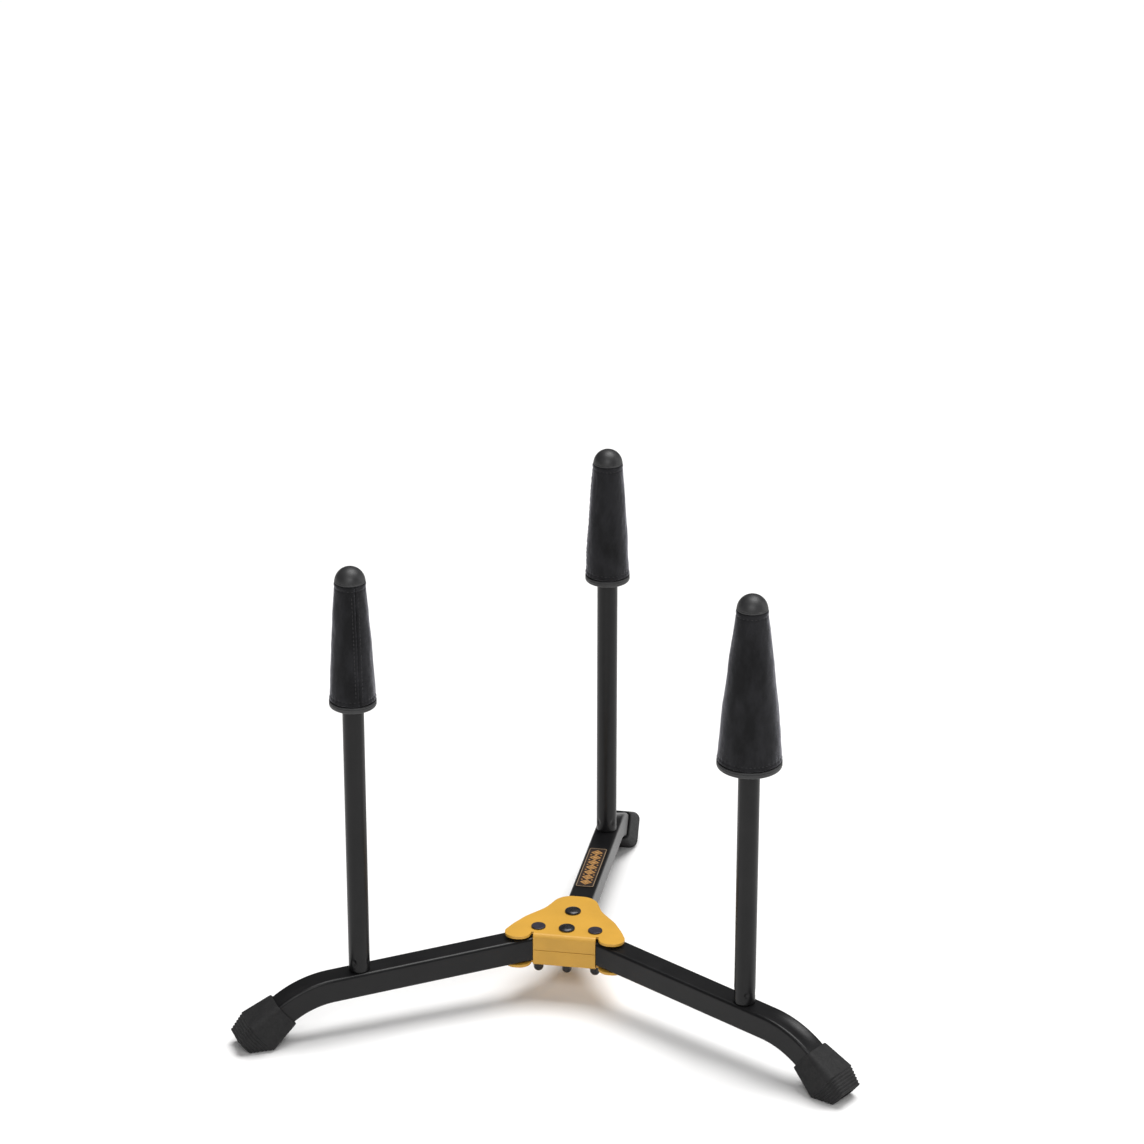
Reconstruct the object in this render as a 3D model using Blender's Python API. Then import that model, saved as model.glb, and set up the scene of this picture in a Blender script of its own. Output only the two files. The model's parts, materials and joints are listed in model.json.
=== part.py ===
"""A folding three-legged trumpet stand: two pressed hub plates, three bent tube legs and three pegs.

Metres, +Z up. The origin is on the floor, in the middle of the stand's length and width. The hub stands
in front of it, where the three legs' centre lines meet. The rear leg is bolted fast and points along +Y.
The two front legs swing on vertical pivot bolts.
Each post screws down onto a stud in its leg and carries a velvet-covered peg.
"""

import math

import bmesh
import bpy
from mathutils import Vector

MM = 0.001
GAP = 0.3 * MM
EDGE = 0.4 * MM
ARC_STEP = math.radians(18)
ROUND_SEGMENTS = 24
SMALL_SEGMENTS = 18

# The hub, with its own places measured from where the three legs' centre lines meet
HUB_Y = -61.6 * MM
HUB_TOP = 58.5 * MM
HUB_HEIGHT = 26.9 * MM
PLATE = 2.2 * MM
PIVOT_RADIUS = 25.4 * MM
REAR_BOLT_Y = 15.2 * MM
FLANGE_FACE_Y = -25.5 * MM
FLANGE_HALF_WIDTH = 24.1 * MM
BEND_OUTER = 3.2 * MM
BEND_STEPS = 4
NOTCH_WIDTH = 2.0 * MM
NOTCH_DEPTH = 1.2 * MM
LOBE_FRONT_Y = -31.2 * MM
LOBE_RADIUS = 9.0 * MM

# The legs
LEG_ANGLES = {"left": math.radians(210), "right": math.radians(-30), "rear": math.radians(90)}
TUBE = 19.4 * MM
TUBE_WALL = 1.5 * MM
TUBE_CORNER = 2.4 * MM
SLOPE = math.radians(2)
FOOT_SLOPE = math.radians(38)
BEND_START = 166.0 * MM
BEND_RADIUS = 71.0 * MM
LEG_BEND_STEPS = 8
TONGUE = 9.3 * MM
TONGUE_END = 5.0 * MM
RELIEF_REACH = 14.0 * MM

# The rubber feet, along their own axis from the collar
GIRTH_AT = 25.0 * MM
TIP_AT = 39.8 * MM
POCKET = 19.0 * MM
POCKET_PLAY = 1.0 * MM
POCKET_CLEARANCE = 0.35 * MM
LIP = 0.8 * MM
END_BORDER = 2.2 * MM
END_RECESS = 1.2 * MM
SOLE_DROP = 14.4 * MM
RIBS = 5
STEPS_PER_RIB = 4
RIB_DEPTH = 0.6 * MM

# Fasteners
BOLT_RADIUS = 2.45 * MM
BOLT_HOLE = 2.8 * MM
DOME_RADIUS = 6.2 * MM
DOME_HEIGHT = 2.4 * MM
DOME_RIM = 0.7 * MM
FLAT_RADIUS = 5.5 * MM
FLAT_HEIGHT = 1.0 * MM
WASHER_RADIUS = 5.0 * MM
PIVOT_WASHER = 0.9 * MM
THIN_WASHER = 0.5 * MM
THICK_WASHER = 1.5 * MM
NUT_ACROSS_FLATS = 8.0 * MM
NUT_HEIGHT = 10.6 * MM
NUT_HEX_HEIGHT = 5.5 * MM
NUT_BORE_DEPTH = 8.0 * MM
NUT_CROWN = 4.0 * MM
SLEEVE_RADIUS = 4.4 * MM
SLEEVE_PLAY = 1.0 * MM
PLATE_PLAY = 0.25 * MM

# The posts and pegs, with heights above the leg's top face
POST_RADIUS = 8.0 * MM
POST_WALL = 1.2 * MM
FRONT_POST_REACH = 143.6 * MM
REAR_POST_REACH = 151.0 * MM
POST_TOP = 300.0 * MM
CRIMP_HEIGHT = 8.0 * MM
CRIMP_RADIUS = 2.2 * MM
CRIMP_DEPTH = 0.9 * MM
STUD_RADIUS = 3.9 * MM
STUD_RISE = 19.0 * MM
STUD_FLANGE = 6.5 * MM
STUD_FLANGE_THICKNESS = 2.0 * MM
INSERT_START = 1.0 * MM
INSERT_HEIGHT = 20.0 * MM
PEG_TOP = 318.0 * MM
PEG_TOP_RADIUS = 9.6 * MM
TRUMPET_PEG = {"bottom": 225.0 * MM, "radius": 15.2 * MM}
FLUGELHORN_PEG = {"bottom": 200.0 * MM, "radius": 21.7 * MM}
PEGS = {"left": TRUMPET_PEG, "right": FLUGELHORN_PEG, "rear": TRUMPET_PEG}
VELVET = 1.5 * MM
SOCKET_RADIUS = 5.3 * MM
SOCKET_DEPTH = 9.0 * MM
RING_HEIGHT = 5.0 * MM
RING_OVERHANG = 0.8 * MM
RING_EDGE = 1.0 * MM

# The label plate on the rear leg
LABEL_START = 42.3 * MM
LABEL_LENGTH = 70.0 * MM
LABEL_WIDTH = 14.4 * MM
LABEL_THICKNESS = 0.5 * MM
LABEL_CORNER = 1.8 * MM

# Foot sections as half width, top, bottom and corner radius. The sole is flat between girth and tip.
SOLE_RISE = (TIP_AT - GIRTH_AT) * math.tan(FOOT_SLOPE)
COLLAR = (11.7 * MM, 11.7 * MM, 11.7 * MM, 3.4 * MM)
GIRTH = (15.6 * MM, 16.4 * MM, SOLE_DROP, 6.5 * MM)
TIP = (12.9 * MM, 12.5 * MM, SOLE_DROP - SOLE_RISE, 4.0 * MM)

HUB_MIDDLE = HUB_TOP - HUB_HEIGHT / 2
HUB_BOTTOM = HUB_TOP - HUB_HEIGHT
FRONT_BOLT_Y = PIVOT_RADIUS * math.sin(LEG_ANGLES["right"])
PIVOT_X = PIVOT_RADIUS * math.cos(LEG_ANGLES["right"])
PIVOT_Y = FRONT_BOLT_Y
CLAMP_MIDDLE = (FRONT_BOLT_Y + REAR_BOLT_Y) / 2 - PIVOT_RADIUS
BOLT_PLACES = {
    "front": (0.0, FRONT_BOLT_Y),
    "rear": (0.0, REAR_BOLT_Y),
    "left": (-PIVOT_X, PIVOT_Y),
    "right": (PIVOT_X, PIVOT_Y),
}


# ---------------------------------------------------------------- scene and materials


def clear_scene():
    for obj in list(bpy.data.objects):
        bpy.data.objects.remove(obj, do_unlink=True)


def material(name, colour, roughness, metallic):
    made = bpy.data.materials.get(name)
    if made:
        return made
    made = bpy.data.materials.new(name)
    made.use_nodes = True
    shader = made.node_tree.nodes["Principled BSDF"]
    shader.inputs["Base Color"].default_value = (*colour, 1.0)
    shader.inputs["Roughness"].default_value = roughness
    shader.inputs["Metallic"].default_value = metallic
    made.diffuse_color = (*colour, 1.0)
    return made


def yellow_paint():
    return material("yellow_paint", (0.745, 0.397, 0.056), 0.42, 0.0)


def black_paint():
    return material("black_paint", (0.014, 0.014, 0.015), 0.38, 0.0)


def blackened_steel():
    return material("blackened_steel", (0.03, 0.03, 0.032), 0.3, 0.8)


def zinc_steel():
    return material("zinc_steel", (0.55, 0.55, 0.54), 0.35, 1.0)


def nylon():
    return material("nylon", (0.05, 0.05, 0.05), 0.5, 0.0)


def rubber():
    return material("rubber", (0.02, 0.02, 0.021), 0.75, 0.0)


def velvet():
    return material("velvet", (0.01, 0.01, 0.011), 0.95, 0.0)


def label_foil():
    return material("label_foil", (0.05, 0.035, 0.025), 0.4, 0.0)


def empty(name, location, angle=0.0, parent=None):
    made = bpy.data.objects.new(name, None)
    made.location = location
    made.rotation_euler = (0, 0, angle)
    made.parent = parent
    bpy.context.collection.objects.link(made)
    return made


def piece(name, mesh, finish, location=(0, 0, 0), rotation=(0, 0, 0), parent=None):
    made = bpy.data.objects.new(name, mesh)
    made.location = location
    made.rotation_euler = rotation
    made.parent = parent
    mesh.materials.clear()
    mesh.materials.append(finish)
    bpy.context.collection.objects.link(made)
    return made


def cut(target, mesh):
    """Cuts a closed mesh, given in the target's own coordinates, out of the target."""
    cutter = bpy.data.objects.new(f"{target.name}_cutter", mesh)
    cutter.location = target.location
    cutter.rotation_euler = target.rotation_euler
    cutter.parent = target.parent
    cutter.hide_render = True
    cutter.display_type = "WIRE"
    bpy.context.collection.objects.link(cutter)
    modifier = target.modifiers.new("cut", "BOOLEAN")
    modifier.operation = "DIFFERENCE"
    modifier.solver = "EXACT"
    modifier.object = cutter


# ---------------------------------------------------------------- mesh helpers


def mesh_from(name, made, smooth_below=math.radians(35)):
    bmesh.ops.recalc_face_normals(made, faces=made.faces)
    mesh = bpy.data.meshes.new(name)
    made.to_mesh(mesh)
    made.free()
    mesh.shade_smooth()
    mesh.set_sharp_from_angle(angle=smooth_below)
    return mesh


def add_loft(made, rings, closed=False):
    """Joins rings of equal length, with a cap on each end or, if closed, back round to the first ring."""
    loops = [[made.verts.new(point) for point in ring] for ring in rings]
    pairs = list(zip(loops, loops[1:]))
    if closed:
        pairs.append((loops[-1], loops[0]))
    else:
        made.faces.new(loops[0])
        made.faces.new(loops[-1])
    for near, far in pairs:
        for index in range(len(near)):
            after = (index + 1) % len(near)
            made.faces.new((near[index], near[after], far[after], far[index]))


def loft(name, rings, closed=False):
    made = bmesh.new()
    add_loft(made, rings, closed)
    return mesh_from(name, made)


def circle(radius, height, segments=ROUND_SEGMENTS, centre=(0.0, 0.0)):
    turns = [2 * math.pi * index / segments for index in range(segments)]
    return [
        (centre[0] + radius * math.cos(turn), centre[1] + radius * math.sin(turn), height)
        for turn in turns
    ]


def turned(name, profile, closed=False, segments=ROUND_SEGMENTS):
    """A turned piece about Z from (radius, height) points along its profile."""
    return loft(name, [circle(radius, height, segments) for radius, height in profile], closed)


def ring_profile(inner, outer, low, high):
    return [(inner, low), (outer, low), (outer, high), (inner, high)]


def arc(centre, radius, start, end, steps):
    turns = [start + (end - start) * index / steps for index in range(steps + 1)]
    return [
        (centre[0] + radius * math.cos(turn), centre[1] + radius * math.sin(turn))
        for turn in turns
    ]


def rounded_outline(corners, arc_step=ARC_STEP):
    """Points of a polygon given as (x, y, radius) corners, with each corner turned into an arc."""
    points = []
    for index, (x, y, radius) in enumerate(corners):
        here = Vector((x, y))
        if radius == 0:
            points.append((x, y))
            continue
        back = (Vector(corners[index - 1][:2]) - here).normalized()
        ahead = (Vector(corners[(index + 1) % len(corners)][:2]) - here).normalized()
        half = back.angle(ahead) / 2
        centre = here + (back + ahead).normalized() * (radius / math.sin(half))
        first = here + back * (radius / math.tan(half)) - centre
        last = here + ahead * (radius / math.tan(half)) - centre
        start = math.atan2(first.y, first.x)
        sweep = math.remainder(math.atan2(last.y, last.x) - start, 2 * math.pi)
        steps = max(2, math.ceil(abs(sweep) / arc_step - 0.01))
        points += arc(centre, radius, start, start + sweep, steps)
    return points


def rounded_rectangle(half_width, top, bottom, radius, arc_step=math.radians(45)):
    return rounded_outline(
        [
            (half_width, -bottom, radius),
            (half_width, top, radius),
            (-half_width, top, radius),
            (-half_width, -bottom, radius),
        ],
        arc_step,
    )


def square_section(half, radius):
    return rounded_rectangle(half, half, half, radius)


# ---------------------------------------------------------------- the hub plates


def hub_outline():
    """The plate seen from above, from the flange's left end round by the right lobe and the rear lobe."""
    bend_start = FLANGE_FACE_Y + BEND_OUTER
    notch_outer = FLANGE_HALF_WIDTH + NOTCH_WIDTH
    right = [
        (FLANGE_HALF_WIDTH, bend_start, 0),
        (FLANGE_HALF_WIDTH, bend_start + NOTCH_DEPTH, 0),
        (notch_outer, bend_start + NOTCH_DEPTH, 0),
        (notch_outer, LOBE_FRONT_Y, LOBE_RADIUS),
        (50.8 * MM, LOBE_FRONT_Y, LOBE_RADIUS),
        (41.8 * MM, -9.8 * MM, 40 * MM),
        (34.8 * MM, 3.0 * MM, 20 * MM),
        (21.8 * MM, 19.0 * MM, 25 * MM),
        (13.2 * MM, 40.8 * MM, 14.5 * MM),
    ]
    left = [(-x, y, radius) for x, y, radius in reversed(right)]
    return rounded_outline(right + left)


def plate_mesh(name, flip):
    """A flat lobed plate whose front edge bends through a right angle into the flange.

    Heights are measured from the hub's middle, where the two plates' flanges meet. flip is 1 for the
    top plate and -1 for the bottom one.
    """
    made = bmesh.new()
    top = HUB_HEIGHT / 2
    outline = hub_outline()
    outer = [made.verts.new((x, y, flip * top)) for x, y in outline]
    inner = [made.verts.new((x, y, flip * (top - PLATE))) for x, y in outline]
    made.faces.new(outer)
    made.faces.new(inner)
    for index in range(len(outline) - 1):
        made.faces.new((outer[index], outer[index + 1], inner[index + 1], inner[index]))
    edge = [outer[-1], outer[0], inner[0], inner[-1]]
    bend_start = FLANGE_FACE_Y + BEND_OUTER
    stations = []
    for step in range(1, BEND_STEPS + 1):
        turn = math.pi / 2 * step / BEND_STEPS
        for radius in (BEND_OUTER, BEND_OUTER - PLATE):
            stations.append(
                (bend_start - radius * math.sin(turn), top - BEND_OUTER + radius * math.cos(turn))
            )
    stations += [(FLANGE_FACE_Y, GAP / 2), (FLANGE_FACE_Y + PLATE, GAP / 2)]
    for (outer_y, outer_z), (inner_y, inner_z) in zip(stations[::2], stations[1::2]):
        ahead = [
            made.verts.new((-FLANGE_HALF_WIDTH, outer_y, flip * outer_z)),
            made.verts.new((FLANGE_HALF_WIDTH, outer_y, flip * outer_z)),
            made.verts.new((FLANGE_HALF_WIDTH, inner_y, flip * inner_z)),
            made.verts.new((-FLANGE_HALF_WIDTH, inner_y, flip * inner_z)),
        ]
        for index in range(4):
            after = (index + 1) % 4
            made.faces.new((edge[index], edge[after], ahead[after], ahead[index]))
        edge = ahead
    made.faces.new(edge)
    return mesh_from(name, made)


def bolt_holes_mesh(name):
    made = bmesh.new()
    for x, y in BOLT_PLACES.values():
        rings = [circle(BOLT_HOLE, side * HUB_HEIGHT, SMALL_SEGMENTS, (x, y)) for side in (-1, 1)]
        add_loft(made, rings)
    return mesh_from(name, made)


def build_plates(hub):
    for name, flip in (("hub_top_plate", 1), ("hub_bottom_plate", -1)):
        mesh = plate_mesh(name, flip)
        plate = piece(name, mesh, yellow_paint(), (0, 0, HUB_MIDDLE), parent=hub)
        cut(plate, bolt_holes_mesh(f"{name}_holes"))


# ---------------------------------------------------------------- bolts, nuts, washers, sleeves


def bolt_mesh(name, domed):
    """A bolt hanging from the top plate's upper face at height 0."""
    end = -(HUB_HEIGHT + NUT_HEIGHT - NUT_CROWN)
    shank = [(BOLT_RADIUS - EDGE, end), (BOLT_RADIUS, end + EDGE), (BOLT_RADIUS, GAP)]
    if domed:
        crown = [
            (DOME_RADIUS * math.cos(turn), GAP + DOME_RIM + (DOME_HEIGHT - DOME_RIM) * math.sin(turn))
            for turn in (math.radians(angle) for angle in (0, 24, 48, 72))
        ]
        head = [(DOME_RADIUS, GAP), *crown]
    else:
        head = [
            (FLAT_RADIUS, GAP),
            (FLAT_RADIUS, GAP + FLAT_HEIGHT - EDGE),
            (FLAT_RADIUS - EDGE, GAP + FLAT_HEIGHT),
        ]
    return turned(name, shank + head, segments=SMALL_SEGMENTS)


def hexagon(across_flats, height, segments=SMALL_SEGMENTS):
    """A hexagon sampled at as many points as a circle, so that the two can be joined."""
    points = []
    for x, y, _ in circle(1.0, height, segments):
        turn = math.atan2(y, x) % math.radians(60) - math.radians(30)
        radius = across_flats / 2 / math.cos(turn)
        points.append((x * radius, y * radius, height))
    return points


def cap_nut_mesh(name):
    """A domed cap nut hanging from height 0, with its blind bore open at the top."""
    bore = BOLT_RADIUS + GAP
    dome = (NUT_ACROSS_FLATS - EDGE) / 2
    straight = -(NUT_HEIGHT - dome)
    rings = [
        circle(bore, -NUT_BORE_DEPTH, SMALL_SEGMENTS),
        circle(bore, 0.0, SMALL_SEGMENTS),
        hexagon(NUT_ACROSS_FLATS, 0.0),
        hexagon(NUT_ACROSS_FLATS, -NUT_HEX_HEIGHT),
        circle(dome, -(NUT_HEX_HEIGHT + EDGE), SMALL_SEGMENTS),
    ]
    for angle in (0, 25, 50, 75):
        turn = math.radians(angle)
        height = straight - dome * math.sin(turn)
        rings.append(circle(dome * math.cos(turn), height, SMALL_SEGMENTS))
    return loft(name, rings)


def washer_mesh(name, thickness):
    profile = ring_profile(BOLT_HOLE, WASHER_RADIUS, 0.0, thickness)
    return turned(name, profile, closed=True, segments=SMALL_SEGMENTS)


def leg_height(place):
    """Height of the tube's centre line at a bolt."""
    if place in ("left", "right"):
        return HUB_MIDDLE
    return HUB_MIDDLE - (BOLT_PLACES[place][1] - PIVOT_RADIUS - CLAMP_MIDDLE) * math.tan(SLOPE)


def washer_pair(place):
    """Thickness of the washers above and below the tube. The rear leg's set its slope."""
    pairs = {"front": (THIN_WASHER, THICK_WASHER), "rear": (THICK_WASHER, THIN_WASHER)}
    return pairs.get(place, (PIVOT_WASHER, PIVOT_WASHER))


def build_fasteners(hub):
    bolt_names = {"front": "clamp_bolt", "rear": "clamp_bolt", "left": "pivot_bolt", "right": "pivot_bolt"}
    sleeve_length = TUBE - 2 * TUBE_WALL - SLEEVE_PLAY
    for place, (x, y) in BOLT_PLACES.items():
        bolt = f"{bolt_names[place]}_{place}"
        domed = place in ("front", "rear")
        piece(bolt, bolt_mesh(bolt, domed), blackened_steel(), (x, y, HUB_TOP), parent=hub)
        nut = f"cap_nut_{place}"
        piece(nut, cap_nut_mesh(nut), blackened_steel(), (x, y, HUB_BOTTOM - GAP), parent=hub)
        finish = zinc_steel() if domed else nylon()
        above, below = washer_pair(place)
        name = f"washer_top_{place}"
        height = HUB_TOP - PLATE - PLATE_PLAY - above
        piece(name, washer_mesh(name, above), finish, (x, y, height), parent=hub)
        name = f"washer_bottom_{place}"
        height = HUB_BOTTOM + PLATE + PLATE_PLAY
        piece(name, washer_mesh(name, below), finish, (x, y, height), parent=hub)
        name = f"crush_sleeve_{place}"
        profile = ring_profile(BOLT_HOLE, SLEEVE_RADIUS, -sleeve_length / 2, sleeve_length / 2)
        mesh = turned(name, profile, closed=True, segments=SMALL_SEGMENTS)
        piece(name, mesh, zinc_steel(), (x, y, leg_height(place)), parent=hub)


# ---------------------------------------------------------------- the legs


def centre_height(reach, base):
    return base - reach * math.tan(SLOPE)


def bend_end(base):
    """Reach and height of the centre line where the bend gives way to the straight end."""
    reach = BEND_START + BEND_RADIUS * (math.sin(FOOT_SLOPE) - math.sin(SLOPE))
    drop = BEND_RADIUS * (math.cos(SLOPE) - math.cos(FOOT_SLOPE))
    return reach, centre_height(BEND_START, base) - drop


def foot_start(base):
    """Reach and height of the foot's collar on the centre line, with the sole flat on the floor."""
    reach, height = bend_end(base)
    collar_height = GIRTH_AT * math.sin(FOOT_SLOPE) + SOLE_DROP * math.cos(FOOT_SLOPE)
    along = (height - collar_height) / math.sin(FOOT_SLOPE)
    return reach + along * math.cos(FOOT_SLOPE), collar_height


def leg_stations(start, base):
    """(reach, height, slope) down the centre line, from the inner end to the end inside the foot."""
    stations = [(start, centre_height(start, base), SLOPE)]
    for step in range(LEG_BEND_STEPS + 1):
        slope = SLOPE + (FOOT_SLOPE - SLOPE) * step / LEG_BEND_STEPS
        reach = BEND_START + BEND_RADIUS * (math.sin(slope) - math.sin(SLOPE))
        drop = BEND_RADIUS * (math.cos(SLOPE) - math.cos(slope))
        stations.append((reach, centre_height(BEND_START, base) - drop, slope))
    collar_reach, collar_height = foot_start(base)
    inside = POCKET - POCKET_PLAY
    end_reach = collar_reach + inside * math.cos(FOOT_SLOPE)
    stations.append((end_reach, collar_height - inside * math.sin(FOOT_SLOPE), FOOT_SLOPE))
    return stations


def leg_mesh(name, start, base):
    """The square tube, swept down its centre line outside and back up inside."""
    rings = []
    stations = leg_stations(start, base)
    outside = square_section(TUBE / 2, TUBE_CORNER)
    inside = square_section(TUBE / 2 - TUBE_WALL, TUBE_CORNER - TUBE_WALL)
    for section, path in ((outside, stations), (inside, stations[::-1])):
        for reach, height, slope in path:
            rings.append(
                [
                    (reach + up * math.sin(slope), across, height + up * math.cos(slope))
                    for across, up in section
                ]
            )
    return loft(name, rings, closed=True)


def upright_prism(made, outline, low, high):
    add_loft(made, [[(x, y, height) for x, y in outline] for height in (low, high)])


def end_relief_outline(side):
    """What is cut off a front leg's inner end so that it clears the flange all the way round its swing.

    In the leg's own frame: x outward from the pivot, and the flange on the +y side for side = 1. The
    tongue that is left is round about the pivot, and its step meets the flange's end when the leg is open.
    """
    lean = math.radians(30)
    flange_end = FLANGE_HALF_WIDTH - PIVOT_X + GAP

    def from_hub(across, down):
        return (
            across * math.cos(lean) + down * math.sin(lean),
            down * math.cos(lean) - across * math.sin(lean),
        )

    tongue = arc((0, 0), TONGUE, math.pi, 2 * lean, 8)
    step = [from_hub(flange_end, TONGUE), from_hub(flange_end, RELIEF_REACH)]
    across = step[1][0]
    far = [(across, 2 * RELIEF_REACH), (-RELIEF_REACH, 2 * RELIEF_REACH), (-RELIEF_REACH, 0.0)]
    return [(x, side * y) for x, y in tongue + step + far]


def leg_cutter_mesh(name, holes, relief_side):
    made = bmesh.new()
    for reach, radius, low, high in holes:
        add_loft(made, [circle(radius, z, SMALL_SEGMENTS, (reach, 0.0)) for z in (low, high)])
    if relief_side:
        upright_prism(made, end_relief_outline(relief_side), 0.0, HUB_TOP)
    return mesh_from(name, made)


def foot_section(at, shrink=0.0):
    """(half width, top, bottom, corner radius) of the foot at a distance along its axis."""
    if at <= GIRTH_AT:
        low, high, part = COLLAR, GIRTH, at / GIRTH_AT
    else:
        low, high, part = GIRTH, TIP, (at - GIRTH_AT) / (TIP_AT - GIRTH_AT)
    width, top, bottom, radius = (a + (b - a) * part for a, b in zip(low, high))
    return width - shrink, top - shrink, bottom, radius


def foot_ring(at, section):
    return [(at, across, up) for across, up in rounded_rectangle(*section)]


def foot_mesh(name):
    """A rubber foot about its own X axis: pocket, collar, flared body, ribbed toe and recessed end."""
    bore = TUBE / 2 + POCKET_CLEARANCE
    pocket = (bore, bore, bore, TUBE_CORNER + POCKET_CLEARANCE)
    rings = [foot_ring(POCKET, pocket), foot_ring(0.0, pocket)]
    rings.append(foot_ring(0.0, foot_section(0.0, LIP / 2)))
    for at in (LIP, GIRTH_AT * 0.8, GIRTH_AT - LIP / 2):
        rings.append(foot_ring(at, foot_section(at)))
    ribbed = TIP_AT - GIRTH_AT - LIP
    steps = STEPS_PER_RIB * RIBS
    for step in range(steps + 1):
        at = GIRTH_AT + ribbed * step / steps
        wave = 0.5 - 0.5 * math.cos(2 * math.pi * step / STEPS_PER_RIB)
        rings.append(foot_ring(at, foot_section(at, RIB_DEPTH * wave)))
    width, top, bottom, radius = foot_section(TIP_AT)
    rings.append(foot_ring(TIP_AT, (width - LIP / 2, top - LIP / 2, bottom - LIP / 2, radius)))
    recess = (width - END_BORDER, top - END_BORDER, bottom - END_BORDER, radius - END_BORDER / 2)
    rings.append(foot_ring(TIP_AT, recess))
    rings.append(foot_ring(TIP_AT - END_RECESS, recess))
    return loft(name, rings)


def build_leg(place, hub):
    angle = LEG_ANGLES[place]
    pivot = (PIVOT_RADIUS * math.cos(angle), PIVOT_RADIUS * math.sin(angle), 0)
    frame = empty(f"{place}_leg_frame", pivot, angle, hub)
    if place == "rear":
        base = HUB_MIDDLE + CLAMP_MIDDLE * math.tan(SLOPE)
        start = FLANGE_FACE_Y + PLATE + 2 * GAP - PIVOT_RADIUS
        bolts = [FRONT_BOLT_Y - PIVOT_RADIUS, REAR_BOLT_Y - PIVOT_RADIUS]
        post_reach = REAR_POST_REACH
        relief_side = 0
    else:
        base = HUB_MIDDLE
        start = -TONGUE_END
        bolts = [0.0]
        post_reach = FRONT_POST_REACH
        relief_side = 1 if place == "left" else -1
    name = f"leg_tube_{place}"
    leg = piece(name, leg_mesh(name, start, base), black_paint(), parent=frame)
    holes = [(reach, BOLT_HOLE, 0.0, HUB_TOP) for reach in bolts]
    post_centre = centre_height(post_reach, base)
    holes.append((post_reach, STUD_RADIUS + GAP, post_centre, HUB_TOP))
    cut(leg, leg_cutter_mesh(f"{name}_cuts", holes, relief_side))
    name = f"rubber_foot_{place}"
    reach, height = foot_start(base)
    piece(name, foot_mesh(name), rubber(), (reach, 0, height), (0, FOOT_SLOPE, 0), frame)
    build_post(place, frame, post_reach, post_centre)
    if place == "rear":
        build_label(frame, base)


# ---------------------------------------------------------------- the posts and pegs


def build_post(place, frame, reach, tube_centre):
    wall_rise = POST_RADIUS * math.tan(SLOPE)
    leg_top = tube_centre + TUBE / 2 / math.cos(SLOPE)
    foot_height = leg_top + wall_rise + GAP / 2
    under_wall = leg_top - TUBE_WALL - wall_rise - GAP / 2
    build_stud(place, frame, reach, under_wall, foot_height)
    seat = (reach, 0, foot_height)
    build_post_tube(place, frame, seat)
    build_peg(place, frame, seat)


def build_stud(place, frame, reach, under_wall, foot_height):
    """A threaded stud whose flange is fixed under the tube's top wall."""
    name = f"post_stud_{place}"
    rise = foot_height - under_wall + STUD_RISE
    profile = [
        (STUD_FLANGE, -STUD_FLANGE_THICKNESS),
        (STUD_FLANGE, 0.0),
        (STUD_RADIUS, 0.0),
        (STUD_RADIUS, rise - 2 * EDGE),
        (STUD_RADIUS - 2 * EDGE, rise),
    ]
    mesh = turned(name, profile, segments=SMALL_SEGMENTS)
    piece(name, mesh, zinc_steel(), (reach, 0, under_wall), parent=frame)


def crimp_mesh(name):
    """Four small balls that dent the post where it is staked onto its threaded insert."""
    made = bmesh.new()
    for index in range(4):
        turn = math.radians(45 + 90 * index)
        distance = POST_RADIUS + CRIMP_RADIUS - CRIMP_DEPTH
        rings = []
        for tilt in (-75, -45, -15, 15, 45, 75):
            angle = math.radians(tilt)
            rings.append(
                circle(
                    CRIMP_RADIUS * math.cos(angle),
                    CRIMP_HEIGHT + CRIMP_RADIUS * math.sin(angle),
                    12,
                    (distance * math.cos(turn), distance * math.sin(turn)),
                )
            )
        add_loft(made, rings)
    return mesh_from(name, made)


def build_post_tube(place, frame, seat):
    name = f"post_tube_{place}"
    profile = [
        (POST_RADIUS - POST_WALL, 0.0),
        (POST_RADIUS - EDGE, 0.0),
        (POST_RADIUS, EDGE),
        (POST_RADIUS, POST_TOP - EDGE),
        (POST_RADIUS - EDGE, POST_TOP),
        (POST_RADIUS - POST_WALL, POST_TOP),
    ]
    tube = piece(name, turned(name, profile, closed=True), black_paint(), seat, parent=frame)
    cut(tube, crimp_mesh(f"{name}_crimps"))
    name = f"post_insert_{place}"
    outer = POST_RADIUS - POST_WALL - GAP
    profile = ring_profile(STUD_RADIUS + GAP, outer, INSERT_START, INSERT_START + INSERT_HEIGHT)
    mesh = turned(name, profile, closed=True, segments=SMALL_SEGMENTS)
    piece(name, mesh, zinc_steel(), seat, parent=frame)


def peg_radius(peg, height):
    """Radius of a peg's core: a long cone that narrows faster towards its tip."""
    part = (height - peg["bottom"]) / (PEG_TOP - peg["bottom"])
    return peg["radius"] + (PEG_TOP_RADIUS - peg["radius"]) * part**1.25


def peg_heights(peg, steps=5):
    return [peg["bottom"] + (PEG_TOP - peg["bottom"]) * step / steps for step in range(steps + 1)]


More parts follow.
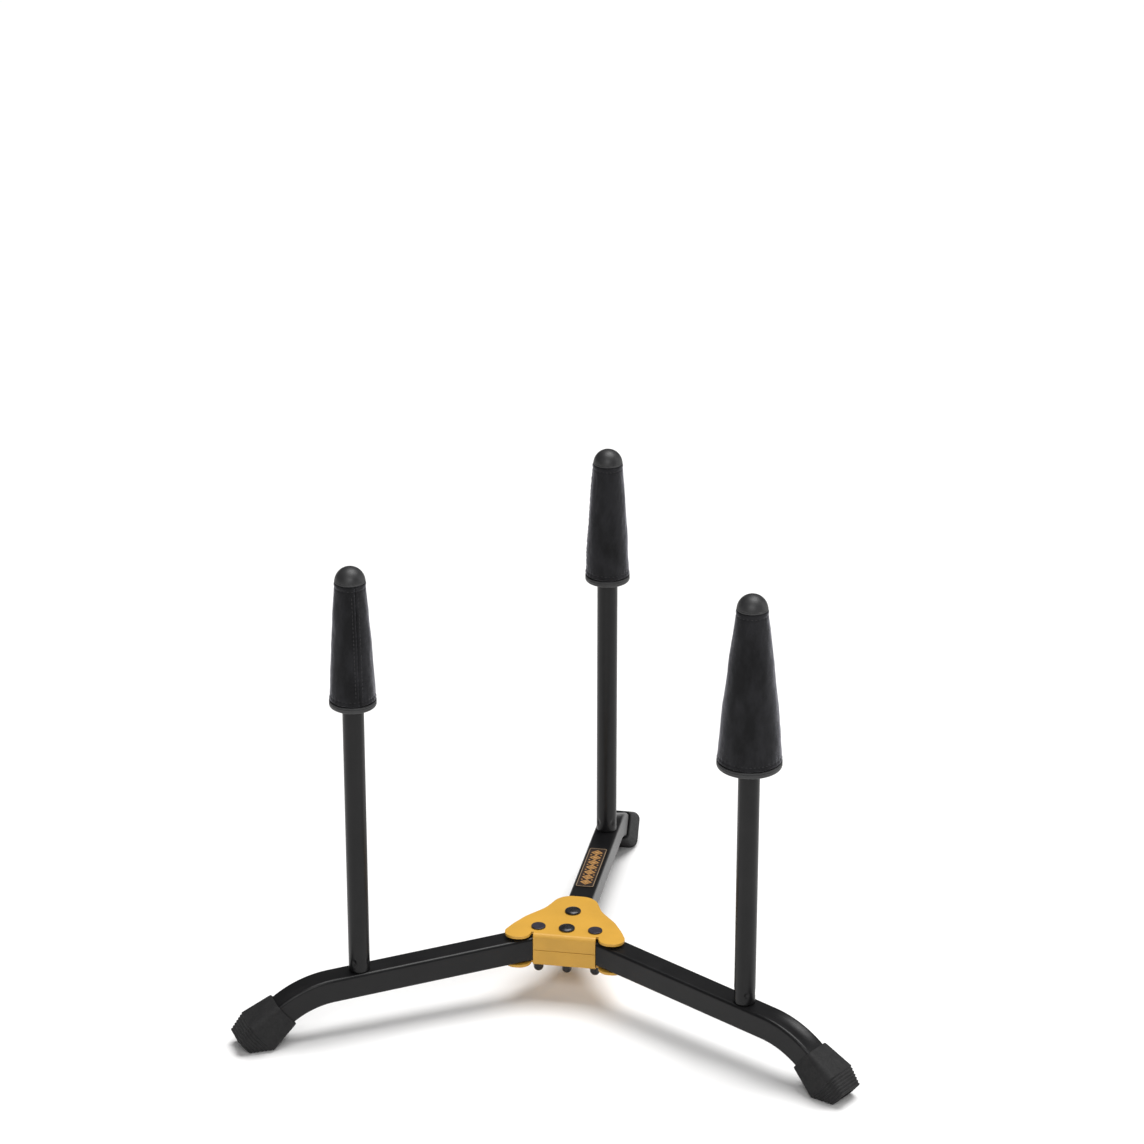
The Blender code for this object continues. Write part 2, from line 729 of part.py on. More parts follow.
def build_peg(place, frame, seat):
    peg = PEGS[place]
    heights = peg_heights(peg)
    bore = POST_RADIUS + GAP
    socket_floor = PEG_TOP - SOCKET_DEPTH

    name = f"peg_core_{place}"
    profile = [(bore, POST_TOP + GAP), (bore, peg["bottom"])]
    profile += [(peg_radius(peg, height), height) for height in heights]
    profile += [(SOCKET_RADIUS, PEG_TOP), (SOCKET_RADIUS, socket_floor)]
    piece(name, turned(name, profile), nylon(), seat, parent=frame)

    name = f"peg_sleeve_{place}"
    low = peg["bottom"] + GAP
    inner = [(peg_radius(peg, height) + GAP, height) for height in heights]
    inner[0] = (inner[0][0], low)
    outer = [(radius + VELVET, height) for radius, height in inner]
    piece(name, turned(name, inner + outer[::-1], closed=True), velvet(), seat, parent=frame)

    name = f"peg_base_ring_{place}"
    outside = peg["radius"] + VELVET + RING_OVERHANG
    high = peg["bottom"] - GAP
    profile = [
        (bore, high - RING_HEIGHT),
        (outside - 2 * RING_EDGE, high - RING_HEIGHT),
        (outside, high - RING_EDGE),
        (outside - RING_EDGE / 2, high),
        (bore, high),
    ]
    piece(name, turned(name, profile, closed=True), nylon(), seat, parent=frame)

    name = f"peg_tip_{place}"
    seat_height = PEG_TOP + GAP
    dome = PEG_TOP_RADIUS + GAP + VELVET
    spigot = SOCKET_RADIUS - GAP
    profile = [(spigot, socket_floor + GAP), (spigot, seat_height)]
    for angle in (0, 22, 44, 64, 82):
        turn = math.radians(angle)
        profile.append((dome * math.cos(turn), seat_height + dome * math.sin(turn)))
    piece(name, turned(name, profile), nylon(), seat, parent=frame)


# ---------------------------------------------------------------- the label plate


def build_label(frame, base):
    """A thin label on the rear leg's top face, tilted with the tube."""
    name = "rear_leg_label"
    outline = rounded_outline(
        [
            (side * LABEL_LENGTH / 2, end * LABEL_WIDTH / 2, LABEL_CORNER)
            for side, end in ((1, -1), (1, 1), (-1, 1), (-1, -1))
        ]
    )
    made = bmesh.new()
    upright_prism(made, outline, 0.0, LABEL_THICKNESS)
    middle = LABEL_START + LABEL_LENGTH / 2
    height = centre_height(middle, base) + (TUBE / 2 + GAP / 2) / math.cos(SLOPE)
    piece(name, mesh_from(name, made), label_foil(), (middle, 0, height), (0, SLOPE, 0), frame)


clear_scene()
hub_frame = empty("hub_frame", (0, HUB_Y, 0))
build_plates(hub_frame)
build_fasteners(hub_frame)
for leg_place in LEG_ANGLES:
    build_leg(leg_place, hub_frame)
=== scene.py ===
"""The looks of the folding trumpet stand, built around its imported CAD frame.

Metres, +Z up. Every shaped piece is made in place, in the row frame, and rides on its CAD body. Places come
from the CAD nodes' boxes. The named values below are the shapes that a box doesn't say.
"""

import json
import math

import bmesh
import bpy
from mathutils import Matrix, Vector, noise

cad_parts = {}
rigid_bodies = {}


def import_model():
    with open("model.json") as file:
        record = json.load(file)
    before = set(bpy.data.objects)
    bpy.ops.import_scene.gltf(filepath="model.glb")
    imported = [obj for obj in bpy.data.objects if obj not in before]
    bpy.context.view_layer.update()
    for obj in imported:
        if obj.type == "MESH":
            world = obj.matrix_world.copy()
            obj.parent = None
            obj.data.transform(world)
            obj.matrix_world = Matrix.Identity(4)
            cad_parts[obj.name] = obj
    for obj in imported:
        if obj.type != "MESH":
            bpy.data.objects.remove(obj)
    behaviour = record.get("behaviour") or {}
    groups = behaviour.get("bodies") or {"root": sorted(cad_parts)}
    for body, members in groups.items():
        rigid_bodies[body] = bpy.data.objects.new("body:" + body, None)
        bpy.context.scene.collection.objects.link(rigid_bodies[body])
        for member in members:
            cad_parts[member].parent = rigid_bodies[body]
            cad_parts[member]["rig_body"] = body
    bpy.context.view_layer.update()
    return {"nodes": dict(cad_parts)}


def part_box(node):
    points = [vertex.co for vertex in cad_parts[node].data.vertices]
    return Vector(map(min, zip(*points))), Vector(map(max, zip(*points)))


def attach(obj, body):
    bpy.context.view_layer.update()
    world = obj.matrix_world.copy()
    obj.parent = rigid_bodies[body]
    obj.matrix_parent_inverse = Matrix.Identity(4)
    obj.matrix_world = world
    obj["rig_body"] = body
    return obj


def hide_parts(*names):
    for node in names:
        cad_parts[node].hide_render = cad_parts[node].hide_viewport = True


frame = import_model()

MM = 0.001

# The hub plates
PLATE = 2.2 * MM
FLANGE_FACE_Y = -25.5 * MM
FLANGE_HALF_WIDTH = 24.1 * MM
BEND_OUTER = 3.2 * MM
NOTCH_WIDTH = 2.0 * MM
NOTCH_DEPTH = 1.2 * MM
LOBE_FRONT_Y = -31.2 * MM
LOBE_RADIUS = 9.0 * MM
SEAM = 0.3 * MM
PLATE_EDGE = 0.5 * MM

# The legs
SLOPE = math.radians(2)
FOOT_SLOPE = math.radians(38)
TUBE = 19.4 * MM
TUBE_WALL = 1.5 * MM
TUBE_CORNER = 2.4 * MM
BEND_START = 166.0 * MM
BEND_RADIUS = 71.0 * MM
TONGUE = 9.3 * MM
TONGUE_END = 5.0 * MM
RELIEF_REACH = 14.0 * MM
BEND_SAG = 0.8 * MM
CLEARANCE = 0.3 * MM

# The rubber feet, along their own axis from the collar
GIRTH_AT = 25.0 * MM
TIP_AT = 39.8 * MM
POCKET = 19.0 * MM
POCKET_PLAY = 1.0 * MM
POCKET_CLEARANCE = 0.35 * MM
SOLE_DROP = 14.4 * MM
RIBS = 6
RIB_DEPTH = 0.45 * MM
TRIM = 0.25 * MM
SOLE_RISE = (TIP_AT - GIRTH_AT) * math.tan(FOOT_SLOPE)
COLLAR = (11.7 * MM, 11.7 * MM, 11.7 * MM, 3.4 * MM)
GIRTH = (15.6 * MM, 16.4 * MM, SOLE_DROP, 6.5 * MM)
TIP = (12.9 * MM, 12.5 * MM, SOLE_DROP - SOLE_RISE, 4.0 * MM)

# Fasteners
BOLT_HOLE = 2.8 * MM
SHANK_RADIUS = 2.45 * MM
DOME_RIM = 0.7 * MM
NUT_ACROSS_FLATS = 8.0 * MM
NUT_HEX_HEIGHT = 5.5 * MM
NUT_BORE = 2.75 * MM
NUT_BORE_DEPTH = 8.0 * MM

# Posts, studs and pegs
POST_WALL = 1.2 * MM
CRIMP_HEIGHT = 8.0 * MM
CRIMP_DEPTH = 0.9 * MM
STUD_RADIUS = 3.9 * MM
STUD_FLANGE_THICKNESS = 2.0 * MM
THREAD_PITCH = 1.25 * MM
THREAD_DEPTH = 0.65 * MM
VELVET = 1.5 * MM
HEM = 3.4 * MM
PEG_CURVE = 1.25

# The label's border and ornament
LABEL_LENGTH = 70.0 * MM
LABEL_WIDTH = 14.4 * MM
LABEL_CORNER = 1.8 * MM
LABEL_RELIEF = 0.14 * MM
LOZENGES = 7

BOLT_NODES = {
    "front": "clamp_bolt_front",
    "rear": "clamp_bolt_rear",
    "left": "pivot_bolt_left",
    "right": "pivot_bolt_right",
}
PLACES = ("left", "right", "rear")


# -------------------- places, read from the frame


def middle(node):
    low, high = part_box(node)
    return (low + high) / 2


def flat(point):
    return Vector((point.x, point.y, 0.0))


HUB_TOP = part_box("hub_top_plate")[1].z
HUB_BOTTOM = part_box("hub_bottom_plate")[0].z
HUB_MIDDLE = (HUB_TOP + HUB_BOTTOM) / 2
BOLTS = {place: flat(middle(node)) for place, node in BOLT_NODES.items()}
PIVOT_LEAN = math.radians(30)
PIVOT_RADIUS = BOLTS["right"].x / math.cos(PIVOT_LEAN)
HUB = Vector((0.0, BOLTS["right"].y + PIVOT_RADIUS * math.sin(PIVOT_LEAN), 0.0))
CLAMP_MIDDLE = (BOLTS["front"].y + BOLTS["rear"].y) / 2 - HUB.y - PIVOT_RADIUS


def seat(node, turn=0.0):
    """The middle of the underside of a node's box, turned about the vertical."""
    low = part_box(node)[0]
    centre = middle(node)
    return Matrix.Translation((centre.x, centre.y, low.z)) @ Matrix.Rotation(turn, 4, "Z")


def leg_angle(place):
    stud = middle(f"post_stud_{place}") - HUB
    return math.atan2(stud.y, stud.x)


def leg_frame(place):
    """A leg's own frame: X outward from the hub, with its origin on the floor at the pivot's radius."""
    turn = Matrix.Rotation(leg_angle(place), 4, "Z")
    return Matrix.Translation(HUB) @ turn @ Matrix.Translation((PIVOT_RADIUS, 0.0, 0.0))


def leg_base(place):
    """Height of a leg's centre line at its frame's origin."""
    return HUB_MIDDLE + (CLAMP_MIDDLE * math.tan(SLOPE) if place == "rear" else 0.0)


# -------------------- mesh helpers


def arc(centre, radius, start, end, steps):
    turns = [start + (end - start) * index / steps for index in range(steps + 1)]
    return [(centre[0] + radius * math.cos(t), centre[1] + radius * math.sin(t)) for t in turns]


def rounded_outline(corners, step=math.radians(6)):
    """Points of a polygon given as (x, y, radius) corners, with each corner turned into an arc."""
    points = []
    for index, (x, y, radius) in enumerate(corners):
        here = Vector((x, y))
        if radius == 0:
            points.append((x, y))
            continue
        back = (Vector(corners[index - 1][:2]) - here).normalized()
        ahead = (Vector(corners[(index + 1) % len(corners)][:2]) - here).normalized()
        half = back.angle(ahead) / 2
        centre = here + (back + ahead).normalized() * (radius / math.sin(half))
        first = here + back * (radius / math.tan(half)) - centre
        last = here + ahead * (radius / math.tan(half)) - centre
        start = math.atan2(first.y, first.x)
        sweep = math.remainder(math.atan2(last.y, last.x) - start, 2 * math.pi)
        steps = max(2, math.ceil(abs(sweep) / step - 0.01))
        points += arc(centre, radius, start, start + sweep, steps)
    return points


def rounded_rectangle(half_width, top, bottom, radius, step=math.radians(11.25)):
    corners = [(half_width, -bottom), (half_width, top), (-half_width, top), (-half_width, -bottom)]
    return rounded_outline([(x, y, radius) for x, y in corners], step)


def square_section(half, radius):
    return rounded_rectangle(half, half, half, radius)


def circle(radius, height, segments, centre=(0.0, 0.0)):
    turns = [2 * math.pi * index / segments for index in range(segments)]
    return [(centre[0] + radius * math.cos(t), centre[1] + radius * math.sin(t), height) for t in turns]


def shaped_ring(radius_at, height, segments):
    """A ring about Z whose radius changes with the turn."""
    ring = []
    for index in range(segments):
        turn = 2 * math.pi * index / segments
        radius = radius_at(turn)
        ring.append((radius * math.cos(turn), radius * math.sin(turn), height))
    return ring


def add_loft(made, rings, closed=False):
    """Joins rings of equal length, with a cap on each end or, if closed, back round to the first ring."""
    loops = [[made.verts.new(point) for point in ring] for ring in rings]
    pairs = list(zip(loops, loops[1:]))
    if closed:
        pairs.append((loops[-1], loops[0]))
    else:
        made.faces.new(loops[0])
        made.faces.new(loops[-1])
    for near, far in pairs:
        for index in range(len(near)):
            after = (index + 1) % len(near)
            made.faces.new((near[index], near[after], far[after], far[index]))


def add_prism(made, outline, low, high):
    add_loft(made, [[(x, y, height) for x, y in outline] for height in (low, high)])


def smooth(mesh, sharp_over=math.radians(35)):
    mesh.shade_smooth()
    mesh.set_sharp_from_angle(angle=sharp_over)


def new_object(name, made, look, place=Matrix()):
    """An object at the origin whose mesh holds its place."""
    bmesh.ops.recalc_face_normals(made, faces=made.faces)
    mesh = bpy.data.meshes.new(name)
    made.to_mesh(mesh)
    made.free()
    mesh.transform(place)
    mesh.materials.append(look)
    smooth(mesh)
    obj = bpy.data.objects.new(name, mesh)
    bpy.context.collection.objects.link(obj)
    return obj


def carve(obj, made):
    """Cuts closed shapes, in the row frame, out of an object and keeps the result as its mesh."""
    cutter = new_object("cutter", made, obj.data.materials[0])
    modifier = obj.modifiers.new("cut", "BOOLEAN")
    modifier.operation = "DIFFERENCE"
    modifier.solver = "EXACT"
    modifier.object = cutter
    graph = bpy.context.evaluated_depsgraph_get()
    carved = bpy.data.meshes.new_from_object(obj.evaluated_get(graph))
    obj.modifiers.remove(modifier)
    obj.data = carved
    bpy.data.objects.remove(cutter)
    smooth(carved)


def soften_edges(obj, width, segments=3):
    bevel = obj.modifiers.new("soft_edges", "BEVEL")
    bevel.width = width
    bevel.segments = segments
    bevel.limit_method = "ANGLE"
    bevel.angle_limit = math.radians(40)
    bevel.harden_normals = True


def even_normals(obj):
    weighted = obj.modifiers.new("even_normals", "WEIGHTED_NORMAL")
    weighted.keep_sharp = True


def goes_with(obj, node):
    """An added piece that moves with a CAD node."""
    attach(obj, frame["nodes"][node]["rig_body"])


def stands_for(obj, node):
    """A piece that takes a CAD node's place."""
    goes_with(obj, node)
    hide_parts(node)


# -------------------- materials


class Look:
    """A Principled material with short calls for the nodes that pattern it, in metres over the object."""

    def __init__(self, name, metallic=0.0):
        self.material = bpy.data.materials.new(name)
        self.material.use_nodes = True
        self.tree = self.material.node_tree
        self.shader = self.tree.nodes["Principled BSDF"]
        self.shader.inputs["Metallic"].default_value = metallic
        self.place = self.tree.nodes.new("ShaderNodeTexCoord").outputs["Object"]

    def link(self, output, socket):
        self.tree.links.new(output, socket)

    def set(self, **values):
        for name, value in values.items():
            self.shader.inputs[name.replace("_", " ")].default_value = value

    def stretched(self, scale):
        """The place with each axis scaled, for a pattern that runs one way."""
        mapping = self.tree.nodes.new("ShaderNodeMapping")
        mapping.inputs["Scale"].default_value = scale
        self.link(self.place, mapping.inputs["Vector"])
        return mapping.outputs["Vector"]

    def noise(self, size, detail=2.0, roughness=0.5, place=None):
        """Noise whose blotches are about size metres across."""
        node = self.tree.nodes.new("ShaderNodeTexNoise")
        node.inputs["Scale"].default_value = 1.0 / size
        node.inputs["Detail"].default_value = detail
        node.inputs["Roughness"].default_value = roughness
        self.link(place or self.place, node.inputs["Vector"])
        return node.outputs["Fac"]

    def cells(self, size):
        """Distance from scattered points about size metres apart."""
        node = self.tree.nodes.new("ShaderNodeTexVoronoi")
        node.inputs["Scale"].default_value = 1.0 / size
        self.link(self.place, node.inputs["Vector"])
        return node.outputs["Distance"]

    def ramp(self, source, stops):
        """Colours or grey values at positions from 0 to 1."""
        node = self.tree.nodes.new("ShaderNodeValToRGB")
        elements = node.color_ramp.elements
        while len(elements) < len(stops):
            elements.new(0.5)
        for element, (position, value) in zip(elements, stops):
            element.position = position
            element.color = (*value, 1.0) if isinstance(value, tuple) else (value, value, value, 1.0)
        self.link(source, node.inputs["Fac"])
        return node.outputs["Color"]

    def mix(self, factor, first, second, blend="MIX"):
        """Two colours blended by an output or by a plain number."""
        node = self.tree.nodes.new("ShaderNodeMix")
        node.data_type = "RGBA"
        node.blend_type = blend
        if isinstance(factor, float):
            node.inputs["Factor"].default_value = factor
        else:
            self.link(factor, node.inputs["Factor"])
        self.link(first, node.inputs[6])
        self.link(second, node.inputs[7])
        return node.outputs[2]

    def colour(self, output):
        self.link(output, self.shader.inputs["Base Color"])

    def roughness(self, output):
        self.link(output, self.shader.inputs["Roughness"])

    def mottle(self, size, dark, light, detail=4.0, roughness=0.5):
        """Base colour drifting between two colours, in blotches about size metres across."""
        self.colour(self.ramp(self.noise(size, detail, roughness), [(0.3, dark), (0.7, light)]))

    def wear(self, size, low, high, detail=3.0, roughness=0.5):
        """Roughness drifting between two values."""
        self.roughness(self.ramp(self.noise(size, detail, roughness), [(0.3, low), (0.7, high)]))

    def bump(self, layers):
        """Bumps as (height output, depth in metres), one on top of the other."""
        normal = None
        for height, depth in layers:
            node = self.tree.nodes.new("ShaderNodeBump")
            node.inputs["Distance"].default_value = depth
            self.link(height, node.inputs["Height"])
            if normal:
                self.link(normal, node.inputs["Normal"])
            normal = node.outputs["Normal"]
        self.link(normal, self.shader.inputs["Normal"])


def shade(colour, share):
    return tuple(channel * share for channel in colour)


def yellow_paint():
    """Orange-yellow powder coat: a fine orange peel, faint clouding and a few darker specks."""
    look = Look("yellow_powder_coat")
    base = (0.60, 0.322, 0.038)
    clouds = look.ramp(look.noise(18 * MM, 3), [(0.3, shade(base, 0.95)), (0.7, shade(base, 1.04))])
    specks = look.ramp(look.cells(2.6 * MM), [(0.02, shade(base, 0.72)), (0.05, (1.0, 1.0, 1.0))])
    look.colour(look.mix(0.5, clouds, specks, "MULTIPLY"))
    look.wear(1.6 * MM, 0.38, 0.5, 2)
    look.bump([(look.noise(1.1 * MM, 2), 0.035 * MM), (look.noise(0.3 * MM, 1), 0.008 * MM)])
    look.set(Specular_IOR_Level=0.45)
    return look.material


def black_paint():
    """Satin black powder coat on the tubes, with a fine texture and a trace of handling marks."""
    look = Look("black_powder_coat")
    look.mottle(24 * MM, (0.0055, 0.0055, 0.006), (0.009, 0.0088, 0.0093), 4, 0.6)
    grain = look.noise(0.8 * MM, 2)
    clean = look.ramp(grain, [(0.3, 0.26), (0.7, 0.32)])
    handled = look.ramp(grain, [(0.3, 0.32), (0.7, 0.42)])
    look.roughness(look.mix(look.noise(9 * MM, 5, 0.65), clean, handled))
    look.bump([(look.noise(1.3 * MM, 2), 0.03 * MM), (look.noise(0.35 * MM, 1), 0.01 * MM)])
    look.set(Specular_IOR_Level=0.24)
    return look.material


def blackened_steel():
    """Black-oxide steel for the domed bolts, glossy and slightly brushed."""
    look = Look("blackened_steel", metallic=0.55)
    look.mottle(3 * MM, (0.02, 0.02, 0.022), (0.045, 0.044, 0.048))
    look.wear(1.2 * MM, 0.2, 0.34, 4, 0.7)
    look.bump([(look.noise(0.5 * MM, 3), 0.006 * MM)])
    return look.material


def nut_steel():
    """The cap nuts' thicker, duller oxide."""
    look = Look("nut_steel", metallic=0.1)
    look.mottle(3 * MM, (0.008, 0.008, 0.009), (0.016, 0.0155, 0.017))
    look.wear(1.2 * MM, 0.28, 0.42, 4, 0.7)
    look.bump([(look.noise(0.5 * MM, 3), 0.008 * MM)])
    look.set(Specular_IOR_Level=0.35)
    return look.material


def rivet_steel():
    """Flat heads with a faint violet cast from the oxide, duller than the domed ones."""
    look = Look("rivet_steel", metallic=0.4)
    look.mottle(2.4 * MM, (0.028, 0.024, 0.034), (0.05, 0.044, 0.06))
    look.wear(0.9 * MM, 0.34, 0.48)
    look.bump([(look.noise(0.4 * MM, 3), 0.008 * MM)])
    return look.material


def zinc_steel():
    """Bright zinc plate with the soft clouding and fine turning marks of plated hardware."""
    look = Look("zinc_plate", metallic=1.0)
    look.mottle(2.5 * MM, (0.46, 0.46, 0.45), (0.62, 0.62, 0.6))
    turning = look.noise(0.6 * MM, 2, place=look.stretched((0.15, 0.15, 1.0)))
    look.roughness(look.ramp(turning, [(0.3, 0.26), (0.7, 0.42)]))
    look.bump([(turning, 0.012 * MM)])
    return look.material


def nylon():
    """Black moulded nylon for the pivots' washers and the pegs' hidden cores."""
    look = Look("moulded_nylon")
    look.mottle(4 * MM, (0.02, 0.02, 0.02), (0.034, 0.034, 0.033), 3)
    look.wear(0.7 * MM, 0.44, 0.58, 2)
    look.bump([(look.noise(0.5 * MM, 2), 0.01 * MM)])
    return look.material


def peg_plastic():
    """Spark-eroded black plastic on the pegs' tips and base rings."""
    look = Look("peg_plastic")
    look.mottle(6 * MM, (0.014, 0.014, 0.015), (0.022, 0.022, 0.023), 3)
    look.wear(0.5 * MM, 0.4, 0.56)
    look.bump([(look.cells(0.45 * MM), 0.03 * MM), (look.noise(0.25 * MM, 2), 0.012 * MM)])
    return look.material


def rubber():
    """Matt moulded rubber with a fine stipple and a faint bloom of dust."""
    look = Look("black_rubber")
    look.mottle(7 * MM, (0.010, 0.010, 0.0105), (0.018, 0.0177, 0.018), 5, 0.65)
    look.wear(1.5 * MM, 0.6, 0.78)
    look.bump([(look.cells(0.6 * MM), 0.035 * MM), (look.noise(0.3 * MM, 2), 0.015 * MM)])
    look.set(Specular_IOR_Level=0.27)
    return look.material


def velvet():
    """Black velvet: a short pile brushed this way and that, with a soft sheen from the shader and painted
    sheen, lighter base colour in the patches where the brushed pile would catch the light.
    """
    look = Look("black_velvet")
    brush_pattern_and_sheen = look.noise(14 * MM, 4, 0.6, place=look.stretched((1.0, 1.0, 0.45)))
    pile = look.noise(0.35 * MM, 3, 0.7)
    # Two copies of the pile colour: the lighter one is painted sheen, laid over the brushed patches where
    # the pile would catch the light.
    plain_pile = look.ramp(pile, [(0.25, (0.003, 0.003, 0.0035)), (0.75, (0.012, 0.012, 0.013))])
    painted_sheen_pile = look.ramp(pile, [(0.25, (0.008, 0.008, 0.009)), (0.75, (0.026, 0.026, 0.029))])
    look.colour(look.mix(look.ramp(brush_pattern_and_sheen, [(0.38, 0.0), (0.62, 1.0)]), plain_pile, painted_sheen_pile))
    look.roughness(look.ramp(pile, [(0.3, 0.82), (0.7, 0.96)]))
    look.bump([(brush_pattern_and_sheen, 0.35 * MM), (pile, 0.12 * MM)])
    look.set(Sheen_Weight=0.9, Sheen_Roughness=0.35, Specular_IOR_Level=0.2)
    look.shader.inputs["Sheen Tint"].default_value = (0.5, 0.5, 0.55, 1.0)
    return look.material


def thread():
    """The sleeve's sewing thread, a waxed two-ply black."""
    look = Look("black_thread")
    look.mottle(0.5 * MM, (0.012, 0.012, 0.012), (0.04, 0.04, 0.042), 2)
    look.wear(0.4 * MM, 0.5, 0.7, 2)
    look.bump([(look.noise(0.3 * MM, 2), 0.03 * MM)])
    return look.material


def label_ground():
    """The label's dark brown lacquer under its raised gold."""
    look = Look("label_lacquer")
    look.mottle(5 * MM, (0.016, 0.009, 0.006), (0.034, 0.019, 0.013))
    look.wear(1.0 * MM, 0.34, 0.5)
    look.bump([(look.noise(0.6 * MM, 2), 0.01 * MM)])
    return look.material


def gold_ink(name, dark, light):
    look = Look(name, metallic=0.35)
    look.mottle(1.4 * MM, dark, light, 4, 0.65)
    look.wear(0.6 * MM, 0.34, 0.5)
    look.bump([(look.noise(0.35 * MM, 2), 0.01 * MM)])
    return look.material


MAKERS = (
    yellow_paint, black_paint, blackened_steel, nut_steel, rivet_steel, zinc_steel,
    nylon, peg_plastic, rubber, velvet, thread, label_ground,
)
LOOKS = {maker.__name__: maker() for maker in MAKERS}
LOOKS["pale_gold"] = gold_ink("pale_gold_ink", (0.32, 0.22, 0.13), (0.5, 0.37, 0.24))
LOOKS["orange_gold"] = gold_ink("orange_gold_ink", (0.5, 0.24, 0.07), (0.72, 0.4, 0.15))


# -------------------- the hub plates


def hub_outline():
    """The plate seen from above, from the flange's left end round by the right lobe and the rear lobe."""
    bend_start = FLANGE_FACE_Y + BEND_OUTER
    notch_outer = FLANGE_HALF_WIDTH + NOTCH_WIDTH
    right = [
        (FLANGE_HALF_WIDTH, bend_start, 0),
        (FLANGE_HALF_WIDTH, bend_start + NOTCH_DEPTH, 0),
        (notch_outer, bend_start + NOTCH_DEPTH, 0),
        (notch_outer, LOBE_FRONT_Y, LOBE_RADIUS),
        (50.8 * MM, LOBE_FRONT_Y, LOBE_RADIUS),
        (41.8 * MM, -9.8 * MM, 40 * MM),
        (34.8 * MM, 3.0 * MM, 20 * MM),
        (21.8 * MM, 19.0 * MM, 25 * MM),
        (13.2 * MM, 40.8 * MM, 14.5 * MM),
    ]
    left = [(-x, y, radius) for x, y, radius in reversed(right)]
    return rounded_outline(right + left)


def bend_stations(top, steps=12):
    """(y, z) on the plate's outer and inner faces, round the bend and down to the seam."""
    bend_start = FLANGE_FACE_Y + BEND_OUTER
    stations = []
    for step in range(1, steps + 1):
        turn = math.pi / 2 * step / steps
        pair = []
        for radius in (BEND_OUTER, BEND_OUTER - PLATE):
            pair.append((bend_start - radius * math.sin(turn), top - BEND_OUTER + radius * math.cos(turn)))
        stations.append(pair)
    stations.append([(FLANGE_FACE_Y, SEAM / 2), (FLANGE_FACE_Y + PLATE, SEAM / 2)])
    return stations


def plate_shape(flip):
    """A flat lobed plate whose front edge bends into the flange, with heights from the hub's middle."""
    made = bmesh.new()
    top = (HUB_TOP - HUB_BOTTOM) / 2
    outline = hub_outline()
    outer = [made.verts.new((x, y, flip * top)) for x, y in outline]
    inner = [made.verts.new((x, y, flip * (top - PLATE))) for x, y in outline]
    made.faces.new(outer)
    made.faces.new(inner)
    for index in range(len(outline) - 1):
        made.faces.new((outer[index], outer[index + 1], inner[index + 1], inner[index]))
    edge = [outer[-1], outer[0], inner[0], inner[-1]]
    for (outer_y, outer_z), (inner_y, inner_z) in bend_stations(top):
        corners = [
            (-FLANGE_HALF_WIDTH, outer_y, flip * outer_z),
            (FLANGE_HALF_WIDTH, outer_y, flip * outer_z),
            (FLANGE_HALF_WIDTH, inner_y, flip * inner_z),
            (-FLANGE_HALF_WIDTH, inner_y, flip * inner_z),
        ]
        ahead = [made.verts.new(corner) for corner in corners]
        for index in range(4):
            after = (index + 1) % 4
            made.faces.new((edge[index], edge[after], ahead[after], ahead[index]))
        edge = ahead
    made.faces.new(edge)
    return made


def build_plates():
    for level, flip in (("top", 1), ("bottom", -1)):
        place = Matrix.Translation((HUB.x, HUB.y, HUB_MIDDLE))
        plate = new_object(f"{level}_pressing", plate_shape(flip), LOOKS["yellow_paint"], place)
        holes = bmesh.new()
        for bolt in BOLTS.values():
            add_loft(holes, [circle(BOLT_HOLE, z, 40, bolt.xy) for z in (0.0, 2 * HUB_TOP)])
        carve(plate, holes)
        soften_edges(plate, PLATE_EDGE)
        stands_for(plate, f"hub_{level}_plate")


# -------------------- bolts and cap nuts


def dome_profile(radius, height):
    """A domed head's crown, from a small fillet at its rim up to the top."""
    points = [(radius - 0.25 * MM, 0.0), (radius, 0.2 * MM), (radius, DOME_RIM - 0.15 * MM)]
    for turn in (math.radians(6 * step) for step in range(15)):
        points.append((radius * math.cos(turn) ** 0.94, DOME_RIM + (height - DOME_RIM) * math.sin(turn)))
    return points


def flat_head_profile(radius, height):
    """A flat head: a low rim, a rounded shoulder and a face dished a little towards its centre."""
    shoulder = 0.45 * MM
    points = [(radius - 0.2 * MM, 0.0), (radius, 0.2 * MM)]
    points += [
        (radius - shoulder + shoulder * math.cos(turn), height - shoulder + shoulder * math.sin(turn))
        for turn in (math.radians(15 * step) for step in range(7))
    ]
    dish = 0.12 * MM
    points += [(radius * 0.8, height - dish * 0.4), (radius * 0.5, height - dish)]
    points.append((radius * 0.08, height - dish))
    return points


def build_bolts():
    for place, node in BOLT_NODES.items():
        low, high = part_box(node)
        seat = HUB_TOP + CLEARANCE
        radius = (high.x - low.x) / 2
        domed = place in ("front", "rear")
        head = (dome_profile if domed else flat_head_profile)(radius, high.z - seat)
        end = low.z - seat
        point = 0.6 * MM
        shank = [(SHANK_RADIUS - point, end), (SHANK_RADIUS, end + point), (SHANK_RADIUS, 0.0)]
        made = bmesh.new()
        add_loft(made, [circle(r, z, 64) for r, z in shank + head])
        look = LOOKS["blackened_steel" if domed else "rivet_steel"]
        bolt = new_object(f"{node}_turned", made, look, Matrix.Translation((*BOLTS[place].xy, seat)))
        stands_for(bolt, node)


def hex_radius(turn, flats):
    return flats / 2 / math.cos(turn % math.radians(60) - math.radians(30))


